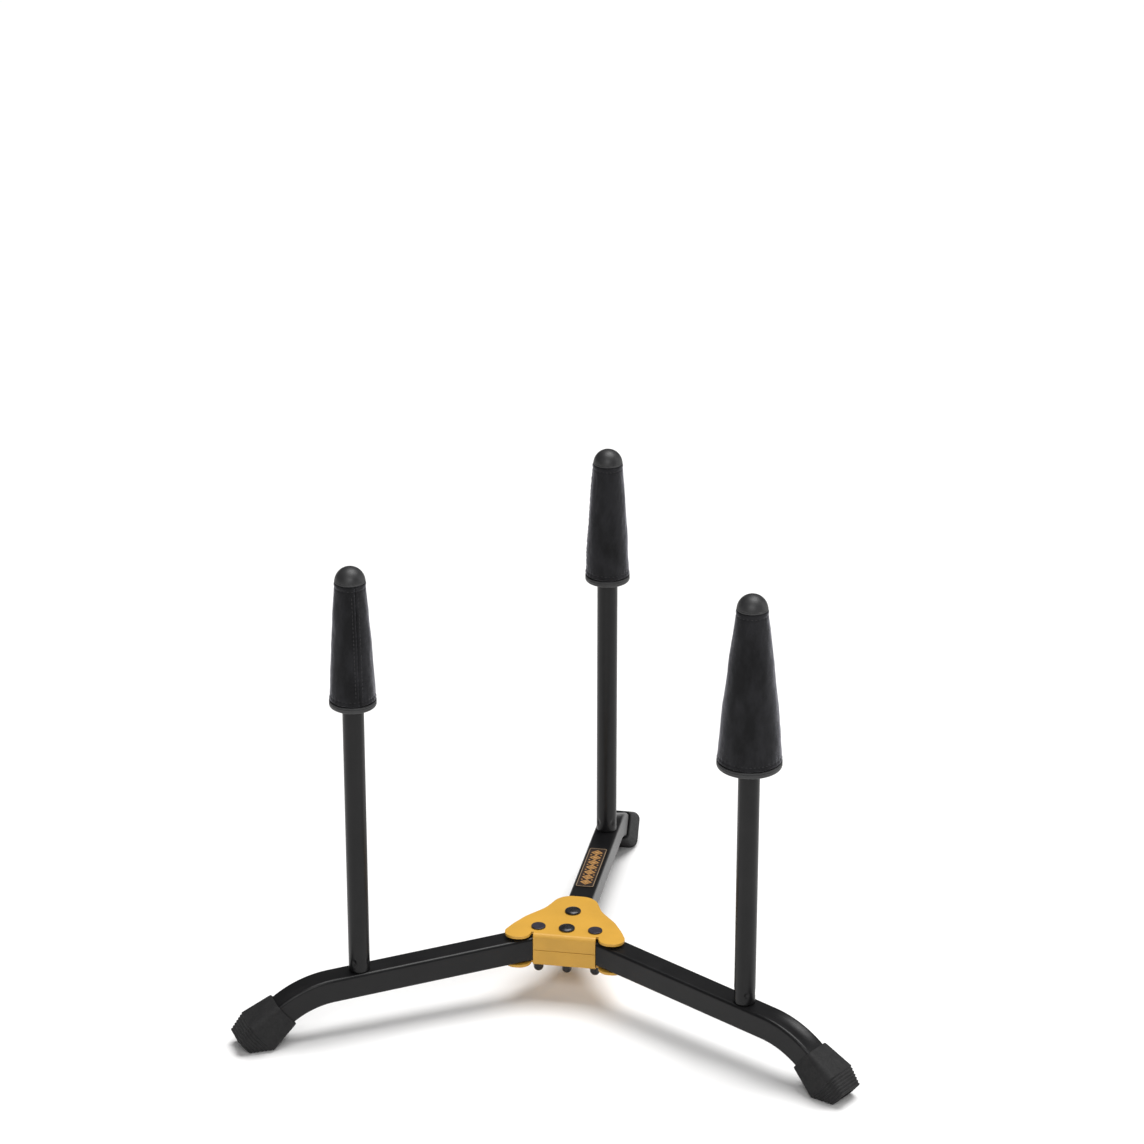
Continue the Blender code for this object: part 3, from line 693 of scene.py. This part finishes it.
def build_nuts():
    segments = 72
    for place, bolt in BOLTS.items():
        node = f"cap_nut_{place}"
        low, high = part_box(node)
        flats = NUT_ACROSS_FLATS
        corner = flats / 2 / math.cos(math.radians(30))
        height = high.z - low.z
        dome = flats / 2 - 0.2 * MM
        rings = [circle(NUT_BORE, -NUT_BORE_DEPTH, segments), circle(NUT_BORE, 0.0, segments)]
        steps = 24
        for step in range(steps + 1):
            z = NUT_HEX_HEIGHT * step / steps
            from_end = min(z, NUT_HEX_HEIGHT - z)
            limit = flats / 2 - 0.1 * MM + min(from_end * 1.9, corner)
            rings.append(shaped_ring(lambda t, most=limit: min(hex_radius(t, flats), most), -z, segments))
        rings.append(circle(dome, -(NUT_HEX_HEIGHT + 0.25 * MM), segments))
        straight = height - dome
        for turn in (math.radians(6.5 * step) for step in range(14)):
            rings.append(circle(dome * math.cos(turn), -(straight + dome * math.sin(turn)), segments))
        made = bmesh.new()
        add_loft(made, rings)
        under_hub = Matrix.Translation((*bolt.xy, high.z))
        nut = new_object(f"{node}_forged", made, LOOKS["nut_steel"], under_hub)
        stands_for(nut, node)


# -------------------- the legs


def centre_height(reach, base):
    return base - reach * math.tan(SLOPE)


def foot_start(base):
    """Reach and height of the foot's collar on the centre line, with the sole flat on the floor."""
    reach = BEND_START + BEND_RADIUS * (math.sin(FOOT_SLOPE) - math.sin(SLOPE))
    height = centre_height(BEND_START, base) - BEND_RADIUS * (math.cos(SLOPE) - math.cos(FOOT_SLOPE))
    collar_height = GIRTH_AT * math.sin(FOOT_SLOPE) + SOLE_DROP * math.cos(FOOT_SLOPE)
    along = (height - collar_height) / math.sin(FOOT_SLOPE)
    return reach + along * math.cos(FOOT_SLOPE), collar_height


def leg_stations(start, base, steps=30):
    """(reach, height, slope) down the centre line, from the inner end to the end inside the foot."""
    stations = [(start, centre_height(start, base), SLOPE)]
    for step in range(steps + 1):
        slope = SLOPE + (FOOT_SLOPE - SLOPE) * step / steps
        reach = BEND_START + BEND_RADIUS * (math.sin(slope) - math.sin(SLOPE))
        drop = BEND_RADIUS * (math.cos(SLOPE) - math.cos(slope))
        stations.append((reach, centre_height(BEND_START, base) - drop, slope))
    collar_reach, collar_height = foot_start(base)
    inside = POCKET - POCKET_PLAY
    end = (collar_reach + inside * math.cos(FOOT_SLOPE), collar_height - inside * math.sin(FOOT_SLOPE))
    stations.append((*end, FOOT_SLOPE))
    return stations


def tube_section(half, radius, flat_steps=8):
    """The square section, with points along its top for the bend's sag."""
    section = square_section(half, radius)
    corner = half - radius
    tops = [index for index, (across, up) in enumerate(section) if up > half - 1e-6 and across > 0]
    points = [(corner - 2 * corner * step / flat_steps, half) for step in range(1, flat_steps)]
    cut = tops[0] + 1
    return section[:cut] + points + section[cut:]


def bend_sag(across, up, slope):
    """How far the tube's outer face sinks between its corners where it was bent."""
    flat = TUBE / 2 - TUBE_CORNER
    if up < TUBE / 2 - 1e-6 or abs(across) >= flat:
        return 0.0
    part = (slope - SLOPE) / (FOOT_SLOPE - SLOPE)
    return BEND_SAG * math.sin(math.pi * part) ** 2 * (1 - (across / flat) ** 2) ** 2


def leg_shape(start, base):
    """The square tube, swept down its centre line outside and back up inside."""
    stations = leg_stations(start, base)
    outside = tube_section(TUBE / 2, TUBE_CORNER)
    inside = tube_section(TUBE / 2 - TUBE_WALL, TUBE_CORNER - TUBE_WALL)
    rings = []
    for section, path in ((outside, stations), (inside, stations[::-1])):
        for reach, height, slope in path:
            ring = []
            for across, up in section:
                out = up - bend_sag(across, up, slope)
                ring.append((reach + out * math.sin(slope), across, height + out * math.cos(slope)))
            rings.append(ring)
    made = bmesh.new()
    add_loft(made, rings, closed=True)
    return made


def end_relief_outline(side):
    """What is cut off a front leg's inner end so that it clears the flange all the way round its swing."""
    lean = math.radians(30)
    flange_end = FLANGE_HALF_WIDTH - BOLTS["right"].x + CLEARANCE

    def from_hub(across, down):
        return (
            across * math.cos(lean) + down * math.sin(lean),
            down * math.cos(lean) - across * math.sin(lean),
        )

    tongue = arc((0, 0), TONGUE, math.pi, 2 * lean, 24)
    step = [from_hub(flange_end, TONGUE), from_hub(flange_end, RELIEF_REACH)]
    across = step[1][0]
    far = [(across, 2 * RELIEF_REACH), (-RELIEF_REACH, 2 * RELIEF_REACH), (-RELIEF_REACH, 0.0)]
    return [(x, side * y) for x, y in tongue + step + far]


def leg_cuts(place, base):
    """The bolt holes, the stud's hole and, on a front leg, the relief at its inner end."""
    made = bmesh.new()
    to_leg = leg_frame(place).inverted()
    bolts = [BOLTS["front"], BOLTS["rear"]] if place == "rear" else [BOLTS[place]]
    for bolt in bolts:
        centre = (to_leg @ bolt).xy
        add_loft(made, [circle(BOLT_HOLE, z, 32, centre) for z in (0.0, HUB_TOP)])
    stud = (to_leg @ flat(middle(f"post_stud_{place}"))).xy
    low = centre_height(stud.x, base)
    add_loft(made, [circle(STUD_RADIUS + CLEARANCE, z, 48, stud) for z in (low, HUB_TOP)])
    if place != "rear":
        add_prism(made, end_relief_outline(1 if place == "left" else -1), 0.0, HUB_TOP)
    bmesh.ops.transform(made, matrix=leg_frame(place), verts=made.verts)
    return made


def build_leg(place):
    base = leg_base(place)
    start = -TONGUE_END
    if place == "rear":
        start = FLANGE_FACE_Y + PLATE + 2 * CLEARANCE - PIVOT_RADIUS
    leg = new_object(f"bent_tube_{place}", leg_shape(start, base), LOOKS["black_paint"], leg_frame(place))
    carve(leg, leg_cuts(place, base))
    even_normals(leg)
    stands_for(leg, f"leg_tube_{place}")


# -------------------- the rubber feet


def foot_section(at, shrink=0.0):
    """(half width, top, bottom, corner radius) of the foot at a distance along its axis."""
    if at <= GIRTH_AT:
        low, high, part = COLLAR, GIRTH, at / GIRTH_AT
    else:
        low, high, part = GIRTH, TIP, (at - GIRTH_AT) / (TIP_AT - GIRTH_AT)
    width, top, bottom, radius = (a + (b - a) * part for a, b in zip(low, high))
    return width - TRIM - shrink, top - TRIM - shrink, bottom, radius


def foot_ring(at, section):
    outline = rounded_rectangle(*section, step=math.radians(9))
    return [(at, across, up) for across, up in outline]


def rib_wave(part):
    """Depth of the rounded grooves between the ribs."""
    return RIB_DEPTH * math.sin(math.pi * RIBS * part) ** 2


def foot_shape():
    """A rubber foot about its own X axis: pocket, collar, flared body, ribbed toe and recessed end."""
    bore = TUBE / 2 + POCKET_CLEARANCE
    pocket = (bore, bore, bore, TUBE_CORNER + POCKET_CLEARANCE)
    rings = [foot_ring(POCKET, pocket), foot_ring(0.6 * MM, pocket)]
    rings.append(foot_ring(0.15 * MM, tuple(size + 0.25 * MM for size in pocket)))
    lip = 0.7 * MM
    for turn in (math.radians(18 * step) for step in range(6)):
        rings.append(foot_ring(lip - lip * math.cos(turn), foot_section(0.0, lip * (1 - math.sin(turn)))))
    body = 22
    for step in range(1, body):
        at = lip + (GIRTH_AT - lip) * step / body
        rings.append(foot_ring(at, foot_section(at)))
    end_lip = 0.6 * MM
    ribbed = TIP_AT - end_lip - GIRTH_AT
    steps = RIBS * 12
    for step in range(steps + 1):
        at = GIRTH_AT + ribbed * step / steps
        rings.append(foot_ring(at, foot_section(at, rib_wave(step / steps))))
    width, top, bottom, radius = foot_section(TIP_AT)
    for turn in (math.radians(22.5 * step) for step in range(1, 5)):
        inset = end_lip * (1 - math.cos(turn))
        section = (width - inset, top - inset, bottom - inset, radius - inset / 2)
        rings.append(foot_ring(TIP_AT - end_lip + end_lip * math.sin(turn), section))
    for inset, depth in ((1.9, 0.0), (2.15, 0.1), (2.3, 0.35), (2.4, 0.9), (2.7, 1.2)):
        section = (width - inset * MM, top - inset * MM, bottom - inset * MM, radius - 1.1 * MM)
        rings.append(foot_ring(TIP_AT - depth * MM, section))
    made = bmesh.new()
    add_loft(made, rings)
    return made


def build_foot(place):
    reach, height = foot_start(leg_base(place))
    along = Matrix.Translation((reach, 0, height)) @ Matrix.Rotation(FOOT_SLOPE, 4, "Y")
    foot = new_object(f"moulded_foot_{place}", foot_shape(), LOOKS["rubber"], leg_frame(place) @ along)
    even_normals(foot)
    stands_for(foot, f"rubber_foot_{place}")


# -------------------- posts and studs


def crimp_depth(turn, height):
    """How far the four stake marks press the post's wall in, at a turn and a height."""
    wide = 0.2
    tall = 2.3 * MM
    depth = 0.0
    for index in range(4):
        off = math.remainder(turn - math.radians(45 + 90 * index), 2 * math.pi)
        depth += math.exp(-((off / wide) ** 2) - ((height - CRIMP_HEIGHT) / tall) ** 2)
    return CRIMP_DEPTH * depth


def build_post(place):
    node = f"post_tube_{place}"
    low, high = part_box(node)
    radius = (high.x - low.x) / 2
    length = high.z - low.z
    edge = 0.5 * MM
    segments = 96
    bore = radius - POST_WALL
    rings = [circle(bore, length - edge, segments), circle(bore, edge, segments)]
    for step in range(7):
        turn = math.radians(15 * step)
        rings.append(circle(radius - edge * (1 - math.sin(turn)), edge * (1 - math.cos(turn)), segments))
    marks_end = 2 * CRIMP_HEIGHT
    steps = 32
    for step in range(1, steps + 1):
        height = edge + (marks_end - edge) * step / steps
        rings.append(shaped_ring(lambda t, z=height: radius - crimp_depth(t, z), height, segments))
    for step in range(7):
        turn = math.radians(15 * step)
        inset = edge * (1 - math.cos(turn))
        rings.append(circle(radius - inset, length - edge + edge * math.sin(turn), segments))
    made = bmesh.new()
    add_loft(made, rings, closed=True)
    post = new_object(f"drawn_post_{place}", made, LOOKS["black_paint"], seat(node, leg_angle(place)))
    stands_for(post, node)


def thread_radius(turn, height, fade):
    phase = (height / THREAD_PITCH - turn / (2 * math.pi)) % 1.0
    ridge = 1.0 - abs(2.0 * phase - 1.0)
    return STUD_RADIUS - THREAD_DEPTH * (1.0 - min(1.0, 1.25 * ridge)) - fade


def build_stud(place):
    """The threaded stud that a post screws onto, with its flange under the tube's top wall."""
    node = f"post_stud_{place}"
    low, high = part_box(node)
    flange = (high.x - low.x) / 2
    rise = high.z - low.z
    segments = 48
    edge = 0.3 * MM
    rings = [circle(flange - edge, 0.0, segments), circle(flange, edge, segments)]
    rings.append(circle(flange, STUD_FLANGE_THICKNESS - edge, segments))
    rings.append(circle(flange - edge, STUD_FLANGE_THICKNESS, segments))
    plain_end = STUD_FLANGE_THICKNESS + 2.2 * MM
    rings.append(circle(STUD_RADIUS, STUD_FLANGE_THICKNESS, segments))
    rings.append(circle(STUD_RADIUS, plain_end, segments))
    lead_in = 1.0 * MM
    steps = 150
    for step in range(1, steps + 1):
        height = plain_end + (rise - plain_end) * step / steps
        fade = max(0.0, height - (rise - lead_in)) * 0.8
        rings.append(shaped_ring(lambda t, z=height, f=fade: thread_radius(t, z, f), height, segments))
    made = bmesh.new()
    add_loft(made, rings)
    stud = new_object(f"threaded_stud_{place}", made, LOOKS["zinc_steel"], seat(node))
    stands_for(stud, node)


# -------------------- the pegs' soft sleeves and plastic ends


def sleeve_sizes(place):
    """Height, and outer radius at the bottom and at the top, of a peg's velvet sleeve."""
    low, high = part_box(f"peg_sleeve_{place}")
    tip_low, tip_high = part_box(f"peg_tip_{place}")
    return high.z - low.z, (high.x - low.x) / 2, (tip_high.x - tip_low.x) / 2


def hem(part_mm):
    """A rolled hem's swell, in mm, at a distance from the sleeve's end, with its stitched channel."""
    roll = math.exp(-(((part_mm - 1.3) / 1.1) ** 2))
    channel = math.exp(-(((part_mm - HEM / MM) / 0.5) ** 2))
    return 0.35 * roll - 0.4 * channel


def sleeve_swell(place, turn, height, length):
    """How far the velvet stands out from a plain cone, in metres: hems, the sewn seam, puckers and slack."""
    mean_radius_mm = 14.0
    from_bottom = height / MM
    from_top = (length - height) / MM
    ends = hem(from_bottom) + hem(from_top)
    off = math.remainder(turn - math.pi / 2, 2 * math.pi) * mean_radius_mm
    seam = -0.55 * math.exp(-((off / 0.55) ** 2)) + 0.3 * math.exp(-(((abs(off) - 1.3) / 0.8) ** 2))
    waves = math.sin(from_bottom * 1.45 + 2.0 * math.sin(from_bottom * 0.37))
    pucker = 0.16 * waves * math.exp(-((off / 5.0) ** 2))
    spot = Vector((math.cos(turn), math.sin(turn), height / (28 * MM)))
    offset = Vector((7.0 * PLACES.index(place), 0.0, 0.0))
    slack = 0.42 * noise.noise(spot * 1.6 + offset) + 0.16 * noise.noise(spot * 4.5 + offset)
    settled = min(1.0, from_bottom / 6, from_top / 6)
    gather = 0.12 * math.sin(26 * turn + 3 * math.sin(3 * turn))
    gathered = math.exp(-((from_bottom - HEM / MM) / 3.0) ** 2)
    return MM * (ends + seam + (pucker + slack) * settled + gather * gathered)


def build_sleeve(place):
    """The velvet sleeve: one sewn tube of cloth with rolled hems, gathered a little where it is stitched."""
    node = f"peg_sleeve_{place}"
    length, wide, narrow = sleeve_sizes(place)
    segments = 160
    steps = round(length / (0.8 * MM))

    def outer_radius(height):
        return wide + (narrow - wide) * (height / length) ** PEG_CURVE

    def inner_ring(height):
        return circle(outer_radius(height) - VELVET, height, segments)

    rolled = 0.5 * MM
    heights = [rolled + (length - 2 * rolled) * step / steps for step in range(steps + 1)]
    rings = [inner_ring(length - rolled), inner_ring(rolled)]
    rings.append(circle(outer_radius(0.0) - 0.9 * VELVET, 0.1 * MM, segments))
    rings.append(circle(outer_radius(0.0) - 0.35 * VELVET, 0.0, segments))
    for z in heights:
        rings.append(
            shaped_ring(lambda t, z=z: outer_radius(z) + sleeve_swell(place, t, z, length), z, segments)
        )
    rings.append(circle(outer_radius(length) - 0.35 * VELVET, length, segments))
    rings.append(circle(outer_radius(length) - 0.9 * VELVET, length - 0.1 * MM, segments))
    made = bmesh.new()
    add_loft(made, rings, closed=True)
    stand = seat(node, leg_angle(place))
    sleeve = new_object(f"velvet_sleeve_{place}", made, LOOKS["velvet"], stand)
    stands_for(sleeve, node)
    build_stitches(place, stand, length, outer_radius)


def add_stitch(made, path, thickness):
    """One stitch: a thin round thread along three or more points, drawn in at both ends."""
    rings = []
    for index, point in enumerate(path):
        ahead = path[min(index + 1, len(path) - 1)] - path[max(index - 1, 0)]
        side = ahead.cross(Vector((point.x, point.y, 0.0))).normalized()
        outward = side.cross(ahead).normalized()
        radius = thickness * (0.35 if index in (0, len(path) - 1) else 1.0)
        ring = []
        for turn in (math.radians(60 * step) for step in range(6)):
            ring.append(point + side * (radius * math.cos(turn)) + outward * (radius * math.sin(turn)))
        rings.append(ring)
    add_loft(made, rings)


def build_stitches(place, stand, length, outer_radius):
    """Running stitches round both hems and up the seam's two sides."""
    made = bmesh.new()
    stitch = 2.3 * MM
    thickness = 0.17 * MM

    def cloth_point(turn, height, lift):
        radius = outer_radius(height) + sleeve_swell(place, turn, height, length) + lift
        return Vector((radius * math.cos(turn), radius * math.sin(turn), height))

    lifts = (-0.12 * MM, 0.1 * MM, 0.14 * MM, 0.1 * MM, -0.12 * MM)
    spacing = 1.35
    for height in (HEM, length - HEM):
        count = round(2 * math.pi * outer_radius(height) / (stitch * spacing))
        for index in range(count):
            start = 2 * math.pi * index / count
            sweep = 2 * math.pi / count / spacing
            path = [cloth_point(start + sweep * k / 4, height, lift) for k, lift in enumerate(lifts)]
            add_stitch(made, path, thickness)
    first = 7 * MM
    count = int((length - 2 * first) / (stitch * spacing))
    for side in (-1, 1):
        for index in range(count):
            start = first + (length - 2 * first) * index / count
            path = []
            for k, lift in enumerate(lifts):
                height = start + stitch * k / 4
                turn = math.pi / 2 + side * 2.6 * MM / outer_radius(height)
                path.append(cloth_point(turn, height, lift))
            add_stitch(made, path, thickness)
    stitches = new_object(f"sleeve_stitching_{place}", made, LOOKS["thread"], stand)
    goes_with(stitches, f"peg_sleeve_{place}")


def build_peg_tip(place):
    """The moulded dome that plugs a peg's top, with the mark of its sprue."""
    node = f"peg_tip_{place}"
    low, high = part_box(node)
    radius = (high.x - low.x) / 2
    dome_start = high.z - low.z - radius
    spigot = 5.0 * MM
    profile = [(spigot - 0.4 * MM, 0.0), (spigot, 0.4 * MM), (spigot, dome_start)]
    profile += [(radius - 0.4 * MM, dome_start), (radius, dome_start + 0.35 * MM)]
    profile += [(radius, dome_start + 1.1 * MM), (radius - 0.35 * MM, dome_start + 1.35 * MM)]
    profile += [(radius - 0.35 * MM, dome_start + 1.75 * MM)]
    for step in range(2, 17):
        turn = math.radians(90 * step / 17)
        profile.append((radius * math.cos(turn), dome_start + radius * math.sin(turn)))
    sprue = 1.1 * MM
    profile += [(sprue, dome_start + radius - 0.06 * MM), (sprue - 0.2 * MM, dome_start + radius - 0.3 * MM)]
    made = bmesh.new()
    add_loft(made, [circle(r, z, 72) for r, z in profile])
    tip = new_object(f"moulded_tip_{place}", made, LOOKS["peg_plastic"], seat(node))
    stands_for(tip, node)


def build_peg_ring(place):
    """The moulded ring that a peg's sleeve stands on, with a groove near its top."""
    node = f"peg_base_ring_{place}"
    low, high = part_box(node)
    radius = (high.x - low.x) / 2
    height = high.z - low.z
    post_low, post_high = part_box(f"post_tube_{place}")
    bore = (post_high.x - post_low.x) / 2 + CLEARANCE
    fillet = 1.6 * MM
    profile = [(bore, height - 0.3 * MM), (bore, 0.4 * MM), (bore + 0.4 * MM, 0.0)]
    profile += [
        (radius - fillet + fillet * math.sin(turn), fillet - fillet * math.cos(turn))
        for turn in (math.radians(11.25 * step) for step in range(9))
    ]
    profile += [(radius, height - 1.7 * MM), (radius - 0.25 * MM, height - 1.5 * MM)]
    profile += [(radius - 0.25 * MM, height - 1.2 * MM), (radius, height - 1.0 * MM)]
    profile += [(radius, height - 0.5 * MM), (radius - 0.45 * MM, height), (bore + 0.3 * MM, height)]
    made = bmesh.new()
    add_loft(made, [circle(r, z, 96) for r, z in profile], closed=True)
    ring = new_object(f"moulded_ring_{place}", made, LOOKS["peg_plastic"], seat(node))
    stands_for(ring, node)


# -------------------- the label


def offset_rectangle(inset):
    corners = [(1, -1), (1, 1), (-1, 1), (-1, -1)]
    sizes = (LABEL_LENGTH / 2 - inset, LABEL_WIDTH / 2 - inset, LABEL_CORNER - inset)
    return rounded_outline([(x * sizes[0], y * sizes[1], sizes[2]) for x, y in corners])


def add_frame(made, outer, inner, low, high):
    """A raised flat line between two outlines of equal length."""
    rings = [
        [(x, y, z) for x, y in outline]
        for outline, z in ((outer, low), (outer, high), (inner, high), (inner, low))
    ]
    add_loft(made, rings, closed=True)


def lozenge(centre, along, across):
    return [(centre + along, 0.0), (centre, across), (centre - along, 0.0), (centre, -across)]


def build_label():
    """A lacquered label with a raised gold line round it and a plain chain of lozenges."""
    node = "rear_leg_label"
    low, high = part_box(node)
    centre = (low + high) / 2
    place = Matrix.Translation(centre) @ Matrix.Rotation(leg_angle("rear"), 4, "Z")
    place = place @ Matrix.Rotation(SLOPE, 4, "Y")
    half = (high.z - low.z - (LABEL_LENGTH * math.sin(SLOPE))) / 2 / math.cos(SLOPE)
    ground_top = half - LABEL_RELIEF
    made = bmesh.new()
    add_prism(made, offset_rectangle(0.0), -half, ground_top)
    ground = new_object("label_plate", made, LOOKS["label_ground"], place)
    stands_for(ground, node)

    sunk = ground_top - 0.1 * MM
    made = bmesh.new()
    add_frame(made, offset_rectangle(0.35 * MM), offset_rectangle(0.85 * MM), sunk, half)
    border = new_object("label_border", made, LOOKS["pale_gold"], place)
    goes_with(border, node)

    made = bmesh.new()
    pitch = (LABEL_LENGTH - 7 * MM) / LOZENGES
    across = LABEL_WIDTH / 2 - 2.5 * MM
    for index in range(LOZENGES):
        at = (index - (LOZENGES - 1) / 2) * pitch
        outer = lozenge(at, pitch / 2 - 0.1 * MM, across)
        inner = lozenge(at, pitch / 2 - 1.9 * MM, across - 1.35 * MM)
        add_frame(made, outer, inner, sunk, half)
        add_prism(made, lozenge(at, pitch / 2 - 2.9 * MM, across - 2.2 * MM), sunk, half)
        if index:
            for side in (-1, 1):
                spot = (at - pitch / 2, side * (across - 0.7 * MM))
                add_prism(made, arc(spot, 0.75 * MM, 0, 2 * math.pi, 16)[:-1], sunk, half)
    ornament = new_object("label_ornament", made, LOOKS["orange_gold"], place)
    goes_with(ornament, node)


# -------------------- small hardware kept from the CAD


def finish_cad_nodes():
    """The small hidden hardware keeps its CAD shape and gets the full materials."""
    looks = {"crush_sleeve": "zinc_steel", "post_insert": "zinc_steel", "peg_core": "nylon"}
    for place in BOLTS:
        for level in ("top", "bottom"):
            looks[f"washer_{level}_{place}"] = "nylon" if place in ("left", "right") else "zinc_steel"
    for name, node in frame["nodes"].items():
        for start, look in looks.items():
            if name.startswith(start):
                for material_slot in node.material_slots:
                    material_slot.material = LOOKS[look]


# -------------------- floor, lights and camera


def build_floor():
    """A pale seamless floor, wide enough to fill the frame from every side."""
    size = 9.0
    made = bmesh.new()
    corners = [(-size, -size, 0), (size, -size, 0), (size, size, 0), (-size, size, 0)]
    made.faces.new([made.verts.new(corner) for corner in corners])
    material = bpy.data.materials.new("pale_floor")
    material.use_nodes = True
    shader = material.node_tree.nodes["Principled BSDF"]
    shader.inputs["Base Color"].default_value = (0.9, 0.895, 0.89, 1.0)
    shader.inputs["Roughness"].default_value = 0.9
    shader.inputs["Specular IOR Level"].default_value = 0.1
    floor = new_object("floor", made, material)


def build_softbox(name, location, size, power):
    """A rectangular softbox facing the hub."""
    data = bpy.data.lights.new(name, "AREA")
    data.shape = "RECTANGLE"
    data.size, data.size_y = size
    data.energy = power
    light = bpy.data.objects.new(name, data)
    light.location = HUB + Vector(location)
    towards = HUB + Vector((0.0, 0.0, 0.05)) - light.location
    light.rotation_euler = towards.to_track_quat("-Z", "Y").to_euler()
    bpy.context.collection.objects.link(light)


def build_overhead(tilt_back, tilt_right, spread, strength):
    """The even light of a bank of diffusers overhead, so wide that its shadows have soft edges."""
    data = bpy.data.lights.new("overhead_bank", "SUN")
    data.energy = strength
    data.angle = math.radians(spread)
    light = bpy.data.objects.new("overhead_bank", data)
    light.location = (0.0, 0.0, 2.5)
    light.rotation_euler = (math.radians(-tilt_back), math.radians(tilt_right), 0.0)
    bpy.context.collection.objects.link(light)


def build_studio():
    build_overhead(tilt_back=12, tilt_right=8, spread=42, strength=3.2)
    build_softbox("front_softbox", (0.3, -2.2, 1.9), (1.6, 1.0), 31.0)
    build_softbox("side_softbox", (2.4, 0.8, 1.1), (1.4, 1.4), 12.0)
    world = bpy.data.worlds.new("studio")
    world.use_nodes = True
    background = world.node_tree.nodes["Background"]
    background.inputs["Color"].default_value = (1.0, 1.0, 1.0, 1.0)
    background.inputs["Strength"].default_value = 0.12
    bpy.context.scene.world = world
    bpy.context.scene.view_settings.view_transform = "Standard"


def build_camera():
    """A long lens from the front, a little to the right and above, with the stand low in the frame."""
    azimuth = math.radians(9.71)
    pitch = math.radians(23.4)
    distance = 3.0
    rise = 0.322
    shift_right = 0.002
    forward = Vector(
        (-math.sin(azimuth) * math.cos(pitch), math.cos(azimuth) * math.cos(pitch), -math.sin(pitch))
    )
    right = Vector((math.cos(azimuth), math.sin(azimuth), 0.0))
    up = right.cross(forward)
    data = bpy.data.cameras.new("camera")
    data.sensor_width = 36.0
    data.lens = 122.1
    data.clip_end = 50.0
    camera = bpy.data.objects.new("camera", data)
    aim = HUB + Vector((0.0, -1.0 * MM, 0.0))
    location = aim - forward * distance + right * shift_right + up * rise
    turned = Matrix((right, up, -forward)).transposed().to_4x4()
    camera.matrix_world = Matrix.Translation(location) @ turned
    bpy.context.collection.objects.link(camera)
    bpy.context.scene.camera = camera


build_plates()
build_bolts()
build_nuts()
for leg_place in PLACES:
    build_leg(leg_place)
    build_foot(leg_place)
    build_post(leg_place)
    build_stud(leg_place)
    build_sleeve(leg_place)
    build_peg_tip(leg_place)
    build_peg_ring(leg_place)
build_label()
finish_cad_nodes()
build_floor()
build_studio()
build_camera()

bpy.context.view_layer.update()
